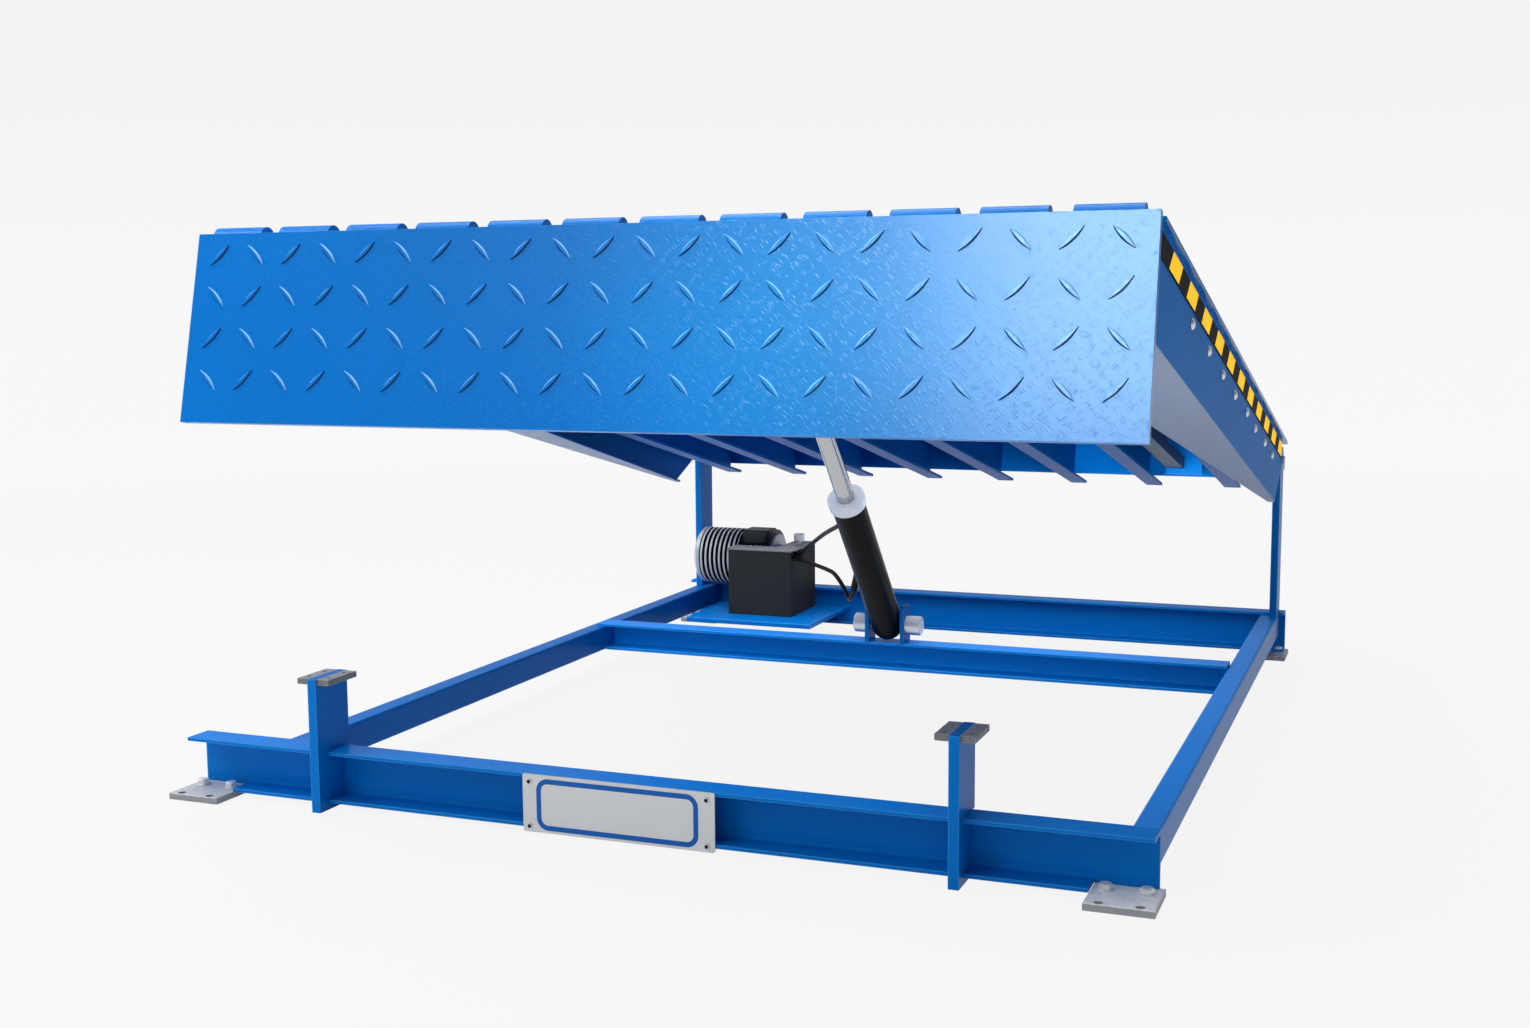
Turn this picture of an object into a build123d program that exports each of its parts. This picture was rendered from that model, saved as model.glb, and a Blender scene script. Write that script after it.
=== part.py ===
"""Hydraulic dock leveler: welded base frame, raised deck with hanging lip, cylinder and power unit.

Millimetres. X runs across the leveler, Y to the rear, Z up. Sizes and places are given from a
datum midway between the side members, at the back of the front beam's web, on the floor. Finished
pieces are moved so that the origin is on the floor at the middle of the whole leveler's outline.
"""
from math import atan2, cos, degrees, pi, radians, sin, tan
import os

from build123d import *

# Base frame
frame_width = 2000.0
frame_top = 133.0
member_width = 55.0
member_depth = 73.0
member_wall = 5.0
member_round = 6.0
member_inner_round = 3.5
front_beam_overhang = 232.0
front_flange = 72.0
beam_wall = 8.0
root_round = 7.0
mid_beam_back = 1586.0
mid_flange = 70.0
mid_lap = 30.0
rear_beam_back = 2460.0
rear_flange = 60.0
rear_overhang_left = 45.0
rear_overhang_right = 19.0

# Foot plates
foot_thickness = 15.0
foot_width = 135.0
foot_length = 132.0
foot_back = 2.0
foot_overhang = 11.0
foot_hole = 18.0
foot_pitch_x = 78.0
foot_pitch_y = 74.0
foot_row = 44.0
foot_edge = 1.5

# Deck rest posts on the front beam
post_thickness = 22.0
post_front = 105.0
post_back = 13.0
post_top = 305.0
post_spacing = 1475.0
pad_width = 30.0
pad_length = 108.0
pad_height = 13.0
pad_hole = 10.0
pad_hole_pitch = 56.0

# Name plate on the front beam, bare
nameplate_width = 448.0
nameplate_height = 127.0
nameplate_thickness = 3.0
nameplate_corner = 4.0

# Rear posts and the deck's hinge
hinge_y = 2395.0
hinge_z = 622.0
rear_post_thickness = 22.0
rear_post_depth = 100.0
hinge_pin = 30.0
hinge_fit = 0.2
hinge_running_fit = 0.08
pin_head = 44.0
pin_head_thickness = 8.0
hinge_lug_thickness = 20.0
hinge_lug_width = 90.0
hinge_lug_gap = 8.0

# Deck
deck_rise = 12.7
deck_above_hinge = 75.0
deck_behind_hinge = 45.0
deck_length = 2680.0
deck_overhang = 10.0
deck_plate = 10.0
joist_count = 8
joist_left_inset = 156.0
joist_right_inset = 125.5
joist_depth = 146.0
joist_flange = 50.0
joist_web = 7.0
joist_foot = 8.0
header_thickness = 8.0
front_header_depth = 150.0
rear_header_depth = 114.0
rear_header_inset = 16.0
guard_wall = 6.0
guard_depth = 222.0
guard_rear_depth = 214.0
guard_rear = 57.0
guard_ear_length = 138.0
guard_ear_rise = 98.0
guard_flange_front = 232.0
guard_flange_rear = 20.0
stripe_height = 47.0
stripe_thickness = 2.0
stripe_drop = 22.0
stripe_front_gap = 12.0
stripe_rear_gap = 10.0

# Lip and its hinge
lip_length = 404.0
lip_thickness = 18.0
lip_face_offset = 32.0
lip_top_above_rod = 4.0
knuckle_count = 12
knuckle_gap = 44.0
lip_rod_inset = 8.0
knuckle_radius = 24.0
lip_rod_radius = 11.0
lip_rod_fit = 0.08
lip_rod_drop = 8.0
lip_rod_gap = 28.0
gusset_thickness = 12.0
gusset_height = 70.0
gusset_lip = 6.0
stop_length = 18.0
stop_gap = 6.0

# Cylinder
cylinder_x = -32.0
cylinder_pin_y = 1545.0
cylinder_pin_rise = 51.0
lug_thickness = 12.0
lug_depth = 66.0
lug_height = 110.0
lug_corner = 6.0
barrel_radius = 46.0
barrel_bore = 38.0
barrel_floor = 60.0
barrel_length = 535.0
barrel_lug_gap = 1.5
gland_radius = 52.0
gland_length = 27.0
gland_spigot = 24.0
gland_edge = 3.0
rod_radius = 25.0
rod_fit = 0.08
piston_length = 40.0
piston_fit = 0.1
piston_place = 350.0
pin_radius = 15.0
pin_fit = 0.08
collar_radius = 28.0
collar_left = 38.0
collar_right = 44.0
collar_bore = 4.0
collar_edge = 2.0
rod_lug_forward = 1546.0
rod_lug_drop = 115.0
rod_eye_radius = 36.0
rod_eye_width = 56.0
clevis_thickness = 12.0
clevis_gap = 1.5
clevis_half_length = 42.0

# Maintenance prop stowed under the deck
prop_inset = 312.0
prop_width = 52.0
prop_depth = 34.0
prop_wall = 5.0
prop_drop = 101.0
prop_front = 1700.0
prop_rear = 120.0
prop_plate_width = 108.0
prop_plate_drop = 17.0
prop_plate_thickness = 6.0

# Power unit
tray_inset = 96.0
tray_width = 446.0
tray_front = 2042.0
tray_top = 75.0
tray_thickness = 15.0
tray_edge = 1.5
tank_inset = 205.0
tank_width = 230.0
tank_front = 2150.0
tank_depth = 246.0
tank_nose = 78.0
tank_back_width = 74.0
tank_height = 222.0
tank_round = 5.0
lid_thickness = 6.0
lid_overhang = 3.0
lid_edge = 1.5
cap_radius = 19.0
cap_height = 34.0
cap_neck = 9.5
cap_edge = 3.0
cap_back = 62.0
motor_y = 2332.0
motor_z = 250.0
motor_inset = 38.0
motor_core = 84.0
motor_radius = 97.0
fin_count = 14
fin_pitch = 17.0
fin_width = 7.0
bell_length = 20.0
bell_edge = 9.0
shield_length = 18.0
shield_radius = 98.0
flange_length = 10.0
flange_radius = 83.0
flange_edge = 2.0
neck_radius = 46.0
box_width = 92.0
box_depth = 92.0
box_height = 43.0
box_edge = 3.0
box_seat = 55.0
box_gap = 0.5

# Hoses and their elbow fittings
hose_radius = 6.5
fitting_radius = 9.0
stub_length = 16.0
elbow_tail = 28.0
corner_share = 0.48
end_share = 0.9
tank_port_high_back = 42.0
tank_port_high_drop = 11.0
tank_port_low_back = 18.0
tank_port_low_drop = 21.0
port_below_gland = 127.0
port_high_turn = 45.0
barrel_port_low = 200.0
port_low_turn = 25.0
upper_free = [Vector(-424, 1950, 354), Vector(-293, 1680, 420), Vector(-186, 1450, 471)]
lower_free = [Vector(-301, 1800, 303), Vector(-236, 1680, 303), Vector(-170, 1565, 283), Vector(-118, 1465, 258)]

# Worked out from the values above
half_width = frame_width / 2
front_beam_left = half_width + front_beam_overhang
front_beam_right = half_width
rear_beam_left = half_width + rear_overhang_left
rear_beam_right = half_width + rear_overhang_right
guard_outer = half_width
deck_half_width = half_width + deck_overhang
joist_first = joist_left_inset - half_width
joist_pitch = (frame_width - joist_left_inset - joist_right_inset) / (joist_count - 1)
rod_half_length = deck_half_width - lip_rod_inset
knuckle_pitch = 2 * rod_half_length / knuckle_count
knuckle_length = knuckle_pitch - knuckle_gap
prop_x = half_width - prop_inset
tray_left = tray_inset - half_width
tank_left = tank_inset - half_width
motor_left = motor_inset - half_width
member_bottom = frame_top - member_depth
member_x = half_width - member_width / 2
rise = radians(deck_rise)
deck_front_u = deck_behind_hinge - deck_length
under_deck = deck_above_hinge - deck_plate
rod_u = deck_front_u - lip_rod_gap
rod_v = deck_above_hinge - lip_rod_drop
beam_center_x = (front_beam_right - front_beam_left) / 2
tank_top = tray_top + tank_height + lid_thickness
mid_top = frame_top + beam_wall
pin_z = mid_top + cylinder_pin_rise

deck_side = Plane(origin=(0, hinge_y, hinge_z), x_dir=(0, cos(rise), -sin(rise)), z_dir=(1, 0, 0))


def deck_point(x, u, v):
    """World point of a place on the deck: u to the rear of the hinge axis, v above it."""
    return Vector(x, hinge_y + u * cos(rise) + v * sin(rise), hinge_z - u * sin(rise) + v * cos(rise))


def deck_section(u):
    """Plane across the deck at u, with X to the right, the deck's up as Y, facing the front."""
    return Plane(origin=deck_point(0, u, 0), x_dir=(1, 0, 0), z_dir=(0, -cos(rise), sin(rise)))


def deck_flat(v):
    """Plane parallel to the deck at v above the hinge axis, with Y to the rear."""
    return Plane(origin=deck_point(0, 0, v), x_dir=(1, 0, 0), z_dir=(0, sin(rise), cos(rise)))


rod_eye = deck_point(cylinder_x, -rod_lug_forward, deck_above_hinge - rod_lug_drop)
cylinder_pin = Vector(cylinder_x, cylinder_pin_y, pin_z)
cylinder_length = (rod_eye - cylinder_pin).length
cylinder_axis = (rod_eye - cylinder_pin).normalized()


def cylinder_plane(t):
    """Plane square to the cylinder at t from the base pin."""
    return Plane(origin=cylinder_pin + cylinder_axis * t, x_dir=(1, 0, 0), z_dir=cylinder_axis)


# The whole outline on the floor, from the lip's foot to the rear feet
lip_top = rod_v + lip_top_above_rod
lip_foot = deck_point(0, rod_u - lip_face_offset, lip_top - lip_length)
deck_back = deck_point(0, deck_behind_hinge, deck_above_hinge)
outline_left = -max(front_beam_left, rear_beam_left) - foot_overhang
outline_right = max(front_beam_right, rear_beam_right) + foot_overhang
outline_back = max(rear_beam_back + foot_back, deck_back.Y)
origin_x = (outline_left + outline_right) / 2
origin_y = (lip_foot.Y + outline_back) / 2
to_origin = Location((-origin_x, -origin_y, 0))

os.makedirs("parts", exist_ok=True)


def root_corners(beam, back):
    """Inner corners of a channel, where its flanges meet the web."""
    web_face = back - beam_wall
    return [edge for edge in beam.edges().filter_by(Axis.X) if abs(edge.center().Y - web_face) < beam_wall / 2]


def save(piece, name):
    """Move a finished piece to the origin, label it and write it under that name."""
    finished = piece.part.moved(to_origin)
    finished.label = name
    export_step(finished, f"parts/{name}.step")


def beam_outline(back, depth, bottom, top):
    """Channel outline in the Y, Z plane with its web at the back and flanges to the front."""
    return [
        (back, bottom),
        (back, top),
        (back - depth, top),
        (back - depth, top - beam_wall),
        (back - beam_wall, top - beam_wall),
        (back - beam_wall, bottom + beam_wall),
        (back - depth, bottom + beam_wall),
        (back - depth, bottom),
    ]


# Front beam: a channel standing on its two foot plates, notched for the posts
post_centers = [beam_center_x - post_spacing / 2, beam_center_x + post_spacing / 2]
with BuildPart() as front_beam:
    with BuildSketch(Plane.YZ.offset(-front_beam_left)):
        with BuildLine():
            Polyline(*beam_outline(0, front_flange, foot_thickness, frame_top), close=True)
        make_face()
    extrude(amount=front_beam_left + front_beam_right)
    fillet(root_corners(front_beam, 0), root_round)
    for post_x in post_centers:
        with BuildSketch(Plane.XY):
            with Locations((post_x, -(front_flange + beam_wall) / 2)):
                Rectangle(post_thickness, front_flange - beam_wall)
        extrude(amount=frame_top, mode=Mode.SUBTRACT)
    foot_inside = foot_width - foot_overhang
    for end_x in (-front_beam_left + foot_inside / 2, front_beam_right - foot_inside / 2):
        with BuildSketch(Plane.XY):
            with Locations((end_x, -(front_flange + beam_wall) / 2)):
                Rectangle(foot_inside, front_flange - beam_wall)
        extrude(amount=foot_thickness + beam_wall + root_round, mode=Mode.SUBTRACT)
save(front_beam, "front_beam")

# Side members: rectangular hollow sections that end between the rear beam's flanges
member_end = rear_beam_back - beam_wall - root_round
for side, name in ((-1, "left_side_member"), (1, "right_side_member")):
    with BuildPart() as member:
        with BuildSketch(Plane.XZ):
            with Locations((side * member_x, frame_top - member_depth / 2)):
                RectangleRounded(member_width, member_depth, member_round)
                RectangleRounded(member_width - 2 * member_wall, member_depth - 2 * member_wall,
                                 member_inner_round, mode=Mode.SUBTRACT)
        extrude(amount=-member_end)
    save(member, name)

# Mid beam: a channel between the side members, its top flange lapping over the left one
with BuildPart() as mid_beam:
    with BuildSketch(Plane.YZ.offset(-half_width + member_width)):
        with BuildLine():
            Polyline(*beam_outline(mid_beam_back, mid_flange, member_bottom, mid_top), close=True)
        make_face()
    extrude(amount=frame_width - 2 * member_width)
    fillet(root_corners(mid_beam, mid_beam_back), root_round)
    with BuildSketch(Plane.XY.offset(frame_top)):
        with Locations((-half_width + member_width - mid_lap / 2, mid_beam_back - mid_flange / 2)):
            Rectangle(mid_lap, mid_flange)
    extrude(amount=beam_wall)
save(mid_beam, "mid_beam")

# Rear beam: a channel on its foot plates, its top flange over the side members and notched for the
# rear posts
rear_front = rear_beam_back - rear_flange
with BuildPart() as rear_beam:
    with BuildSketch(Plane.YZ.offset(-rear_beam_left)):
        with BuildLine():
            Polyline(*beam_outline(rear_beam_back, rear_flange, foot_thickness, mid_top), close=True)
        make_face()
    extrude(amount=rear_beam_left + rear_beam_right)
    fillet(root_corners(rear_beam, rear_beam_back), root_round)
    for side in (-1, 1):
        post_rear = hinge_y + rear_post_depth / 2
        with BuildSketch(Plane.XY.offset(frame_top)):
            with Locations((side * (half_width - rear_post_thickness / 2), (rear_front + post_rear) / 2)):
                Rectangle(rear_post_thickness, post_rear - rear_front)
        extrude(amount=beam_wall, mode=Mode.SUBTRACT)
save(rear_beam, "rear_beam")

# Foot plates: two bolt holes in the row by the web and two open ones in front
front_back_edge = foot_back
rear_back_edge = rear_beam_back + foot_back
feet = {
    "front_left_foot": (-front_beam_left - foot_overhang, front_back_edge),
    "front_right_foot": (front_beam_right + foot_overhang - foot_width, front_back_edge),
    "rear_left_foot": (-rear_beam_left - foot_overhang, rear_back_edge),
    "rear_right_foot": (rear_beam_right + foot_overhang - foot_width, rear_back_edge),
}
for name, (left, back) in feet.items():
    center = (left + foot_width / 2, back - foot_length / 2)
    with BuildPart() as foot:
        with BuildSketch(Plane.XY):
            with Locations(center):
                Rectangle(foot_width, foot_length)
        extrude(amount=foot_thickness)
        chamfer(foot.edges().group_by(Axis.Z)[-1], foot_edge)
        hole_y = back - foot_back - foot_row - foot_pitch_y / 2
        with Locations((center[0], hole_y, foot_thickness)):
            with GridLocations(foot_pitch_x, foot_pitch_y, 2, 2):
                Hole(foot_hole / 2, foot_thickness)
    save(foot, name)

# Deck rest posts: bars through the front beam's flanges, stepped over its web
for post_x, side in zip(post_centers, ("left", "right")):
    with BuildPart() as post:
        with BuildSketch(Plane.YZ.offset(post_x - post_thickness / 2)):
            with BuildLine():
                Polyline(
                    (-post_front, 0),
                    (-beam_wall, 0),
                    (-beam_wall, frame_top),
                    (post_back, frame_top),
                    (post_back, post_top),
                    (-post_front, post_top),
                    close=True,
                )
            make_face()
        extrude(amount=post_thickness)
    save(post, f"{side}_rest_post")

    # Rest pads: two drilled plates, one on each side of the post's head
    with BuildPart() as pads:
        pad_offset = (post_thickness + pad_width) / 2
        pad_y = (post_back - post_front) / 2
        with BuildSketch(Plane.XY.offset(post_top - pad_height)):
            with Locations((post_x - pad_offset, pad_y), (post_x + pad_offset, pad_y)):
                Rectangle(pad_width, pad_length)
                with GridLocations(0, pad_hole_pitch, 1, 2):
                    Circle(pad_hole / 2, mode=Mode.SUBTRACT)
        extrude(amount=pad_height)
    save(pads, f"{side}_rest_pads")

# Name plate, left bare
with BuildPart() as nameplate:
    with BuildSketch(Plane.XZ.offset(front_flange)):
        with Locations((beam_center_x, frame_top - nameplate_height / 2)):
            RectangleRounded(nameplate_width, nameplate_height, nameplate_corner)
    extrude(amount=nameplate_thickness)
save(nameplate, "nameplate")

# Rear posts with round heads, and the pins that the deck turns on
lug_outer = half_width - rear_post_thickness - hinge_lug_gap
for side, name in ((-1, "left"), (1, "right")):
    with BuildPart() as rear_post:
        with BuildSketch(Plane.YZ.offset(side * (half_width - rear_post_thickness / 2))):
            with Locations((hinge_y, (frame_top + hinge_z) / 2)):
                Rectangle(rear_post_depth, hinge_z - frame_top)
            with Locations((hinge_y, hinge_z)):
                Circle(rear_post_depth / 2)
                Circle(hinge_pin / 2 + hinge_fit, mode=Mode.SUBTRACT)
        extrude(amount=rear_post_thickness / 2, both=True)
    save(rear_post, f"{name}_rear_post")

    with BuildPart() as pin:
        inner_end = lug_outer - hinge_lug_thickness - pin_head_thickness
        with BuildSketch(Plane.YZ.offset(side * inner_end)):
            with Locations((hinge_y, hinge_z)):
                Circle(hinge_pin / 2)
        extrude(amount=side * (half_width - inner_end))
        with BuildSketch(Plane.YZ.offset(side * half_width)):
            with Locations((hinge_y, hinge_z)):
                Circle(pin_head / 2)
        extrude(amount=side * pin_head_thickness)
    save(pin, f"{name}_hinge_pin")

# Cylinder lugs on the mid beam
lug_inner = barrel_radius + barrel_lug_gap
with BuildPart() as cylinder_lugs:
    for side in (-1, 1):
        with BuildSketch(Plane.YZ.offset(cylinder_x + side * (lug_inner + lug_thickness / 2))):
            with Locations((cylinder_pin_y, mid_top + lug_height / 2)):
                Rectangle(lug_depth, lug_height)
            with Locations((cylinder_pin_y, pin_z)):
                Circle(pin_radius + pin_fit, mode=Mode.SUBTRACT)
        extrude(amount=lug_thickness / 2, both=True)
    chamfer(cylinder_lugs.edges().filter_by(Axis.X).group_by(Axis.Z)[-1], lug_corner)
save(cylinder_lugs, "cylinder_lugs")

# Base pin with its two collars
with BuildPart() as base_pin:
    reach = lug_inner + lug_thickness
    with BuildSketch(Plane.YZ.offset(cylinder_x - reach)):
        with Locations((cylinder_pin_y, pin_z)):
            Circle(pin_radius)
    extrude(amount=2 * reach)
    with BuildSketch(Plane.YZ.offset(cylinder_x - reach)):
        with Locations((cylinder_pin_y, pin_z)):
            Circle(collar_radius)
    extrude(amount=-collar_left)
    with BuildSketch(Plane.YZ.offset(cylinder_x + reach)):
        with Locations((cylinder_pin_y, pin_z)):
            Circle(collar_radius)
    extrude(amount=collar_right)
    ends = base_pin.edges().filter_by(GeomType.CIRCLE).sort_by(Axis.X)
    chamfer([ends[0], ends[-1]], collar_edge)
    with BuildSketch(Plane.YZ.offset(cylinder_x + reach + collar_right)):
        with Locations((cylinder_pin_y, pin_z)):
            Circle(collar_bore)
    extrude(amount=-collar_right / 2, mode=Mode.SUBTRACT)
save(base_pin, "cylinder_pin")

# Pump tray on the rear beam's web
tray_depth = rear_beam_back - beam_wall - tray_front
with BuildPart() as pump_tray:
    with BuildSketch(Plane.XY.offset(tray_top - tray_thickness)):
        with Locations((tray_left + tray_width / 2, tray_front + tray_depth / 2)):
            Rectangle(tray_width, tray_depth)
    extrude(amount=tray_thickness)
    chamfer(pump_tray.edges().group_by(Axis.Z)[-1], tray_edge)
save(pump_tray, "pump_tray")


def tank_outline(margin):
    """Plan of the tank: a wide nose in front and a narrow block behind it on the right."""
    right = tank_left + tank_width
    return [
        (tank_left - margin, tank_front - margin),
        (right + margin, tank_front - margin),
        (right + margin, tank_front + tank_depth + margin),
        (right - tank_back_width - margin, tank_front + tank_depth + margin),
        (right - tank_back_width - margin, tank_front + tank_nose + margin),
        (tank_left - margin, tank_front + tank_nose + margin),
    ]


with BuildPart() as oil_tank:
    with BuildSketch(Plane.XY.offset(tray_top)):
        with BuildLine():
            Polyline(*tank_outline(0), close=True)
        make_face()
    extrude(amount=tank_height)
    fillet(oil_tank.edges().filter_by(Axis.Z), tank_round)
save(oil_tank, "oil_tank")

with BuildPart() as tank_lid:
    with BuildSketch(Plane.XY.offset(tray_top + tank_height)):
        with BuildLine():
            Polyline(*tank_outline(lid_overhang), close=True)
        make_face()
    extrude(amount=lid_thickness)
    fillet(tank_lid.edges().filter_by(Axis.Z), tank_round)
    chamfer(tank_lid.edges().group_by(Axis.Z)[-1], lid_edge)
save(tank_lid, "tank_lid")

cap_x = tank_left + tank_width - tank_back_width / 2
cap_y = tank_front + tank_depth - cap_back
with BuildPart() as breather_cap:
    with BuildSketch(Plane.XY.offset(tank_top)):
        with Locations((cap_x, cap_y)):
            Circle(cap_neck)
    extrude(amount=cap_height / 2)
    with BuildSketch(Plane.XY.offset(tank_top + cap_height / 3)):
        with Locations((cap_x, cap_y)):
            Circle(cap_radius)
    extrude(amount=cap_height * 2 / 3)
    chamfer(breather_cap.edges().group_by(Axis.Z)[-1], cap_edge)
save(breather_cap, "breather_cap")

# Motor: a finned body with a plain end shield, along X behind the tank's nose. Its fins are milled
# flat beside the shield for the terminal box
motor_length = fin_count * fin_pitch
shield_start = motor_left + bell_length + motor_length
box_x = shield_start - box_gap - box_width / 2
motor_axis = Plane(origin=(motor_left, motor_y, motor_z), x_dir=(1, 0, 0), z_dir=(0, -1, 0))
with BuildPart() as motor_body:
    with BuildSketch(motor_axis):
        with Locations((bell_length + motor_length / 2, motor_core / 2)):
            Rectangle(motor_length, motor_core)
        for number in range(fin_count):
            place = bell_length + fin_pitch * (number + 0.5)
            with Locations((place, motor_radius / 2)):
                Rectangle(fin_width, motor_radius)
    revolve(axis=Axis(motor_axis.origin, (1, 0, 0)))
    with BuildSketch(Plane.XY.offset(motor_z + box_seat)):
        with Locations((box_x, motor_y)):
            Rectangle(box_width + 2 * box_gap, 2 * motor_radius)
    extrude(amount=motor_radius - box_seat, mode=Mode.SUBTRACT)
    with BuildSketch(Plane.YZ.offset(shield_start)):
        with Locations((motor_y, motor_z)):
            Circle(shield_radius)
    extrude(amount=shield_length)
save(motor_body, "motor_body")

with BuildPart() as motor_bell:
    with BuildSketch(Plane.YZ.offset(motor_left)):
        with Locations((motor_y, motor_z)):
            Circle(motor_radius)
    extrude(amount=bell_length)
    chamfer(motor_bell.edges().group_by(Axis.X)[0], bell_edge)
save(motor_bell, "motor_bell")

# Flange on the shield, with the pump's neck to the tank's block
flange_start = shield_start + shield_length
neck_start = flange_start + flange_length
block_face = tank_left + tank_width - tank_back_width
with BuildPart() as motor_flange:
    with BuildSketch(Plane.YZ.offset(flange_start)):
        with Locations((motor_y, motor_z)):
            Circle(flange_radius)
    extrude(amount=flange_length)
    chamfer(motor_flange.edges().group_by(Axis.X)[-1], flange_edge)
    with BuildSketch(Plane.YZ.offset(neck_start)):
        with Locations((motor_y, motor_z)):
            Circle(neck_radius)
    extrude(amount=block_face - neck_start)
save(motor_flange, "motor_flange")

# Terminal box on the motor's flat
with BuildPart() as terminal_box:
    with BuildSketch(Plane.XY.offset(motor_z + box_seat)):
        with Locations((box_x, motor_y)):
            Rectangle(box_width, box_depth)
    extrude(amount=box_height)
    chamfer(terminal_box.edges().group_by(Axis.Z)[-1], box_edge)
save(terminal_box, "terminal_box")

# Barrel: a tube with a domed base round the pin, bored for the piston
with BuildPart() as barrel:
    with Locations(cylinder_pin):
        Sphere(barrel_radius)
    with BuildSketch(cylinder_plane(0)):
        Circle(barrel_radius)
    extrude(amount=barrel_length)
    with BuildSketch(cylinder_plane(barrel_floor)):
        Circle(barrel_bore)
    extrude(amount=barrel_length - barrel_floor, mode=Mode.SUBTRACT)
    with BuildSketch(Plane.YZ.offset(cylinder_x)):
        with Locations((cylinder_pin_y, pin_z)):
            Circle(pin_radius + pin_fit)
    extrude(amount=barrel_radius, both=True, mode=Mode.SUBTRACT)
save(barrel, "barrel")

with BuildPart() as gland:
    with BuildSketch(cylinder_plane(barrel_length)):
        Circle(gland_radius)
    extrude(amount=gland_length)
    chamfer(gland.edges().filter_by(GeomType.CIRCLE).sort_by(Axis(cylinder_pin, cylinder_axis))[-1], gland_edge)
    with BuildSketch(cylinder_plane(barrel_length - gland_spigot)):
        Circle(barrel_bore)
    extrude(amount=gland_spigot)
    with BuildSketch(cylinder_plane(barrel_length - gland_spigot)):
        Circle(rod_radius + rod_fit)
    extrude(amount=gland_spigot + gland_length, mode=Mode.SUBTRACT)
save(gland, "gland")

# Rod with its piston below and its eye above
with BuildPart() as piston_rod:
    with BuildSketch(cylinder_plane(piston_place)):
        Circle(rod_radius)
    extrude(amount=cylinder_length - piston_place)
    with BuildSketch(cylinder_plane(piston_place)):
        Circle(barrel_bore - piston_fit)
    extrude(amount=piston_length)
    with BuildSketch(Plane.YZ.offset(cylinder_x)):
        with Locations((rod_eye.Y, rod_eye.Z)):
            Circle(rod_eye_radius)
    extrude(amount=rod_eye_width / 2, both=True)
save(piston_rod, "piston_rod")

# Deck plate
with BuildPart() as deck_sheet:
    with BuildSketch(deck_flat(under_deck)):
        with Locations((0, deck_behind_hinge - deck_length / 2)):
            Rectangle(2 * deck_half_width, deck_length)
    extrude(amount=deck_plate)
save(deck_sheet, "deck_plate")

# Headers across the deck at its front and rear; the rear one carries the hinge lugs
guard_inner = guard_outer - guard_wall
with BuildPart() as front_header:
    with BuildSketch(deck_section(deck_front_u + header_thickness)):
        with Locations((0, under_deck - front_header_depth / 2)):
            Rectangle(2 * guard_inner, front_header_depth)
    extrude(amount=header_thickness)
save(front_header, "front_header")

rear_header_u = deck_behind_hinge - rear_header_inset - header_thickness
with BuildPart() as rear_header:
    with BuildSketch(deck_section(rear_header_u + header_thickness)):
        with Locations((0, under_deck - rear_header_depth / 2)):
            Rectangle(2 * (lug_outer - hinge_lug_thickness), rear_header_depth)
    extrude(amount=header_thickness)
    for side in (-1, 1):
        with BuildSketch(deck_side.offset(side * (lug_outer - hinge_lug_thickness / 2))):
            with Locations((0, under_deck / 2)):
                Rectangle(hinge_lug_width, under_deck)
            Circle(hinge_lug_width / 2)
            Circle(hinge_pin / 2 + hinge_running_fit, mode=Mode.SUBTRACT)
        extrude(amount=hinge_lug_thickness / 2, both=True)
save(rear_header, "rear_header")

# Joists: angles with their foot pointing right
joist_start = deck_front_u + header_thickness
joist_length = rear_header_u - joist_start
for number in range(joist_count):
    tip_x = joist_first + number * joist_pitch
    with BuildPart() as joist:
        with BuildSketch(deck_section(rear_header_u)):
            with BuildLine():
                Polyline(
                    (tip_x - joist_flange, under_deck),
                    (tip_x - joist_flange, under_deck - joist_depth),
                    (tip_x, under_deck - joist_depth),
                    (tip_x, under_deck - joist_depth + joist_foot),
                    (tip_x - joist_flange + joist_web, under_deck - joist_depth + joist_foot),
                    (tip_x - joist_flange + joist_web, under_deck),
                    close=True,
                )
            make_face()
        extrude(amount=joist_length)
    save(joist, f"joist_{number + 1}")

# Side guards: plates with an ear at the rear and a foot that tapers to the rear
guard_bottom = deck_above_hinge - guard_depth
guard_rear_bottom = deck_above_hinge - guard_rear_depth
for side, name in ((-1, "left"), (1, "right")):
    with BuildPart() as guard:
        with BuildSketch(deck_side.offset(side * (guard_outer - guard_wall / 2))):
            with BuildLine():
                Polyline(
                    (deck_front_u, under_deck),
                    (deck_front_u, guard_bottom),
                    (-guard_rear - guard_ear_length, guard_rear_bottom),
                    (-guard_rear, guard_rear_bottom + guard_ear_rise),
                    (-guard_rear, under_deck),
                    close=True,
                )
            make_face()
        extrude(amount=guard_wall / 2, both=True)
        with BuildSketch(deck_flat(guard_bottom)):
            with BuildLine():
                Polyline(
                    (side * guard_outer, deck_front_u),
                    (side * (guard_outer - guard_flange_front), deck_front_u),
                    (side * (guard_outer - guard_flange_rear), -guard_rear - guard_ear_length),
                    (side * guard_outer, -guard_rear - guard_ear_length),
                    close=True,
                )
            make_face()
        extrude(amount=guard_wall)
    save(guard, f"{name}_guard")

    # Warning strip along the guard
    with BuildPart() as stripe:
        with BuildSketch(deck_side.offset(side * guard_outer)):
            front = deck_front_u + stripe_front_gap
            back = -guard_rear - stripe_rear_gap
            with Locations(((front + back) / 2, deck_above_hinge - stripe_drop - stripe_height / 2)):
                Rectangle(back - front, stripe_height)
        extrude(amount=side * stripe_thickness)
    save(stripe, f"{name}_warning_strip")

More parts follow.
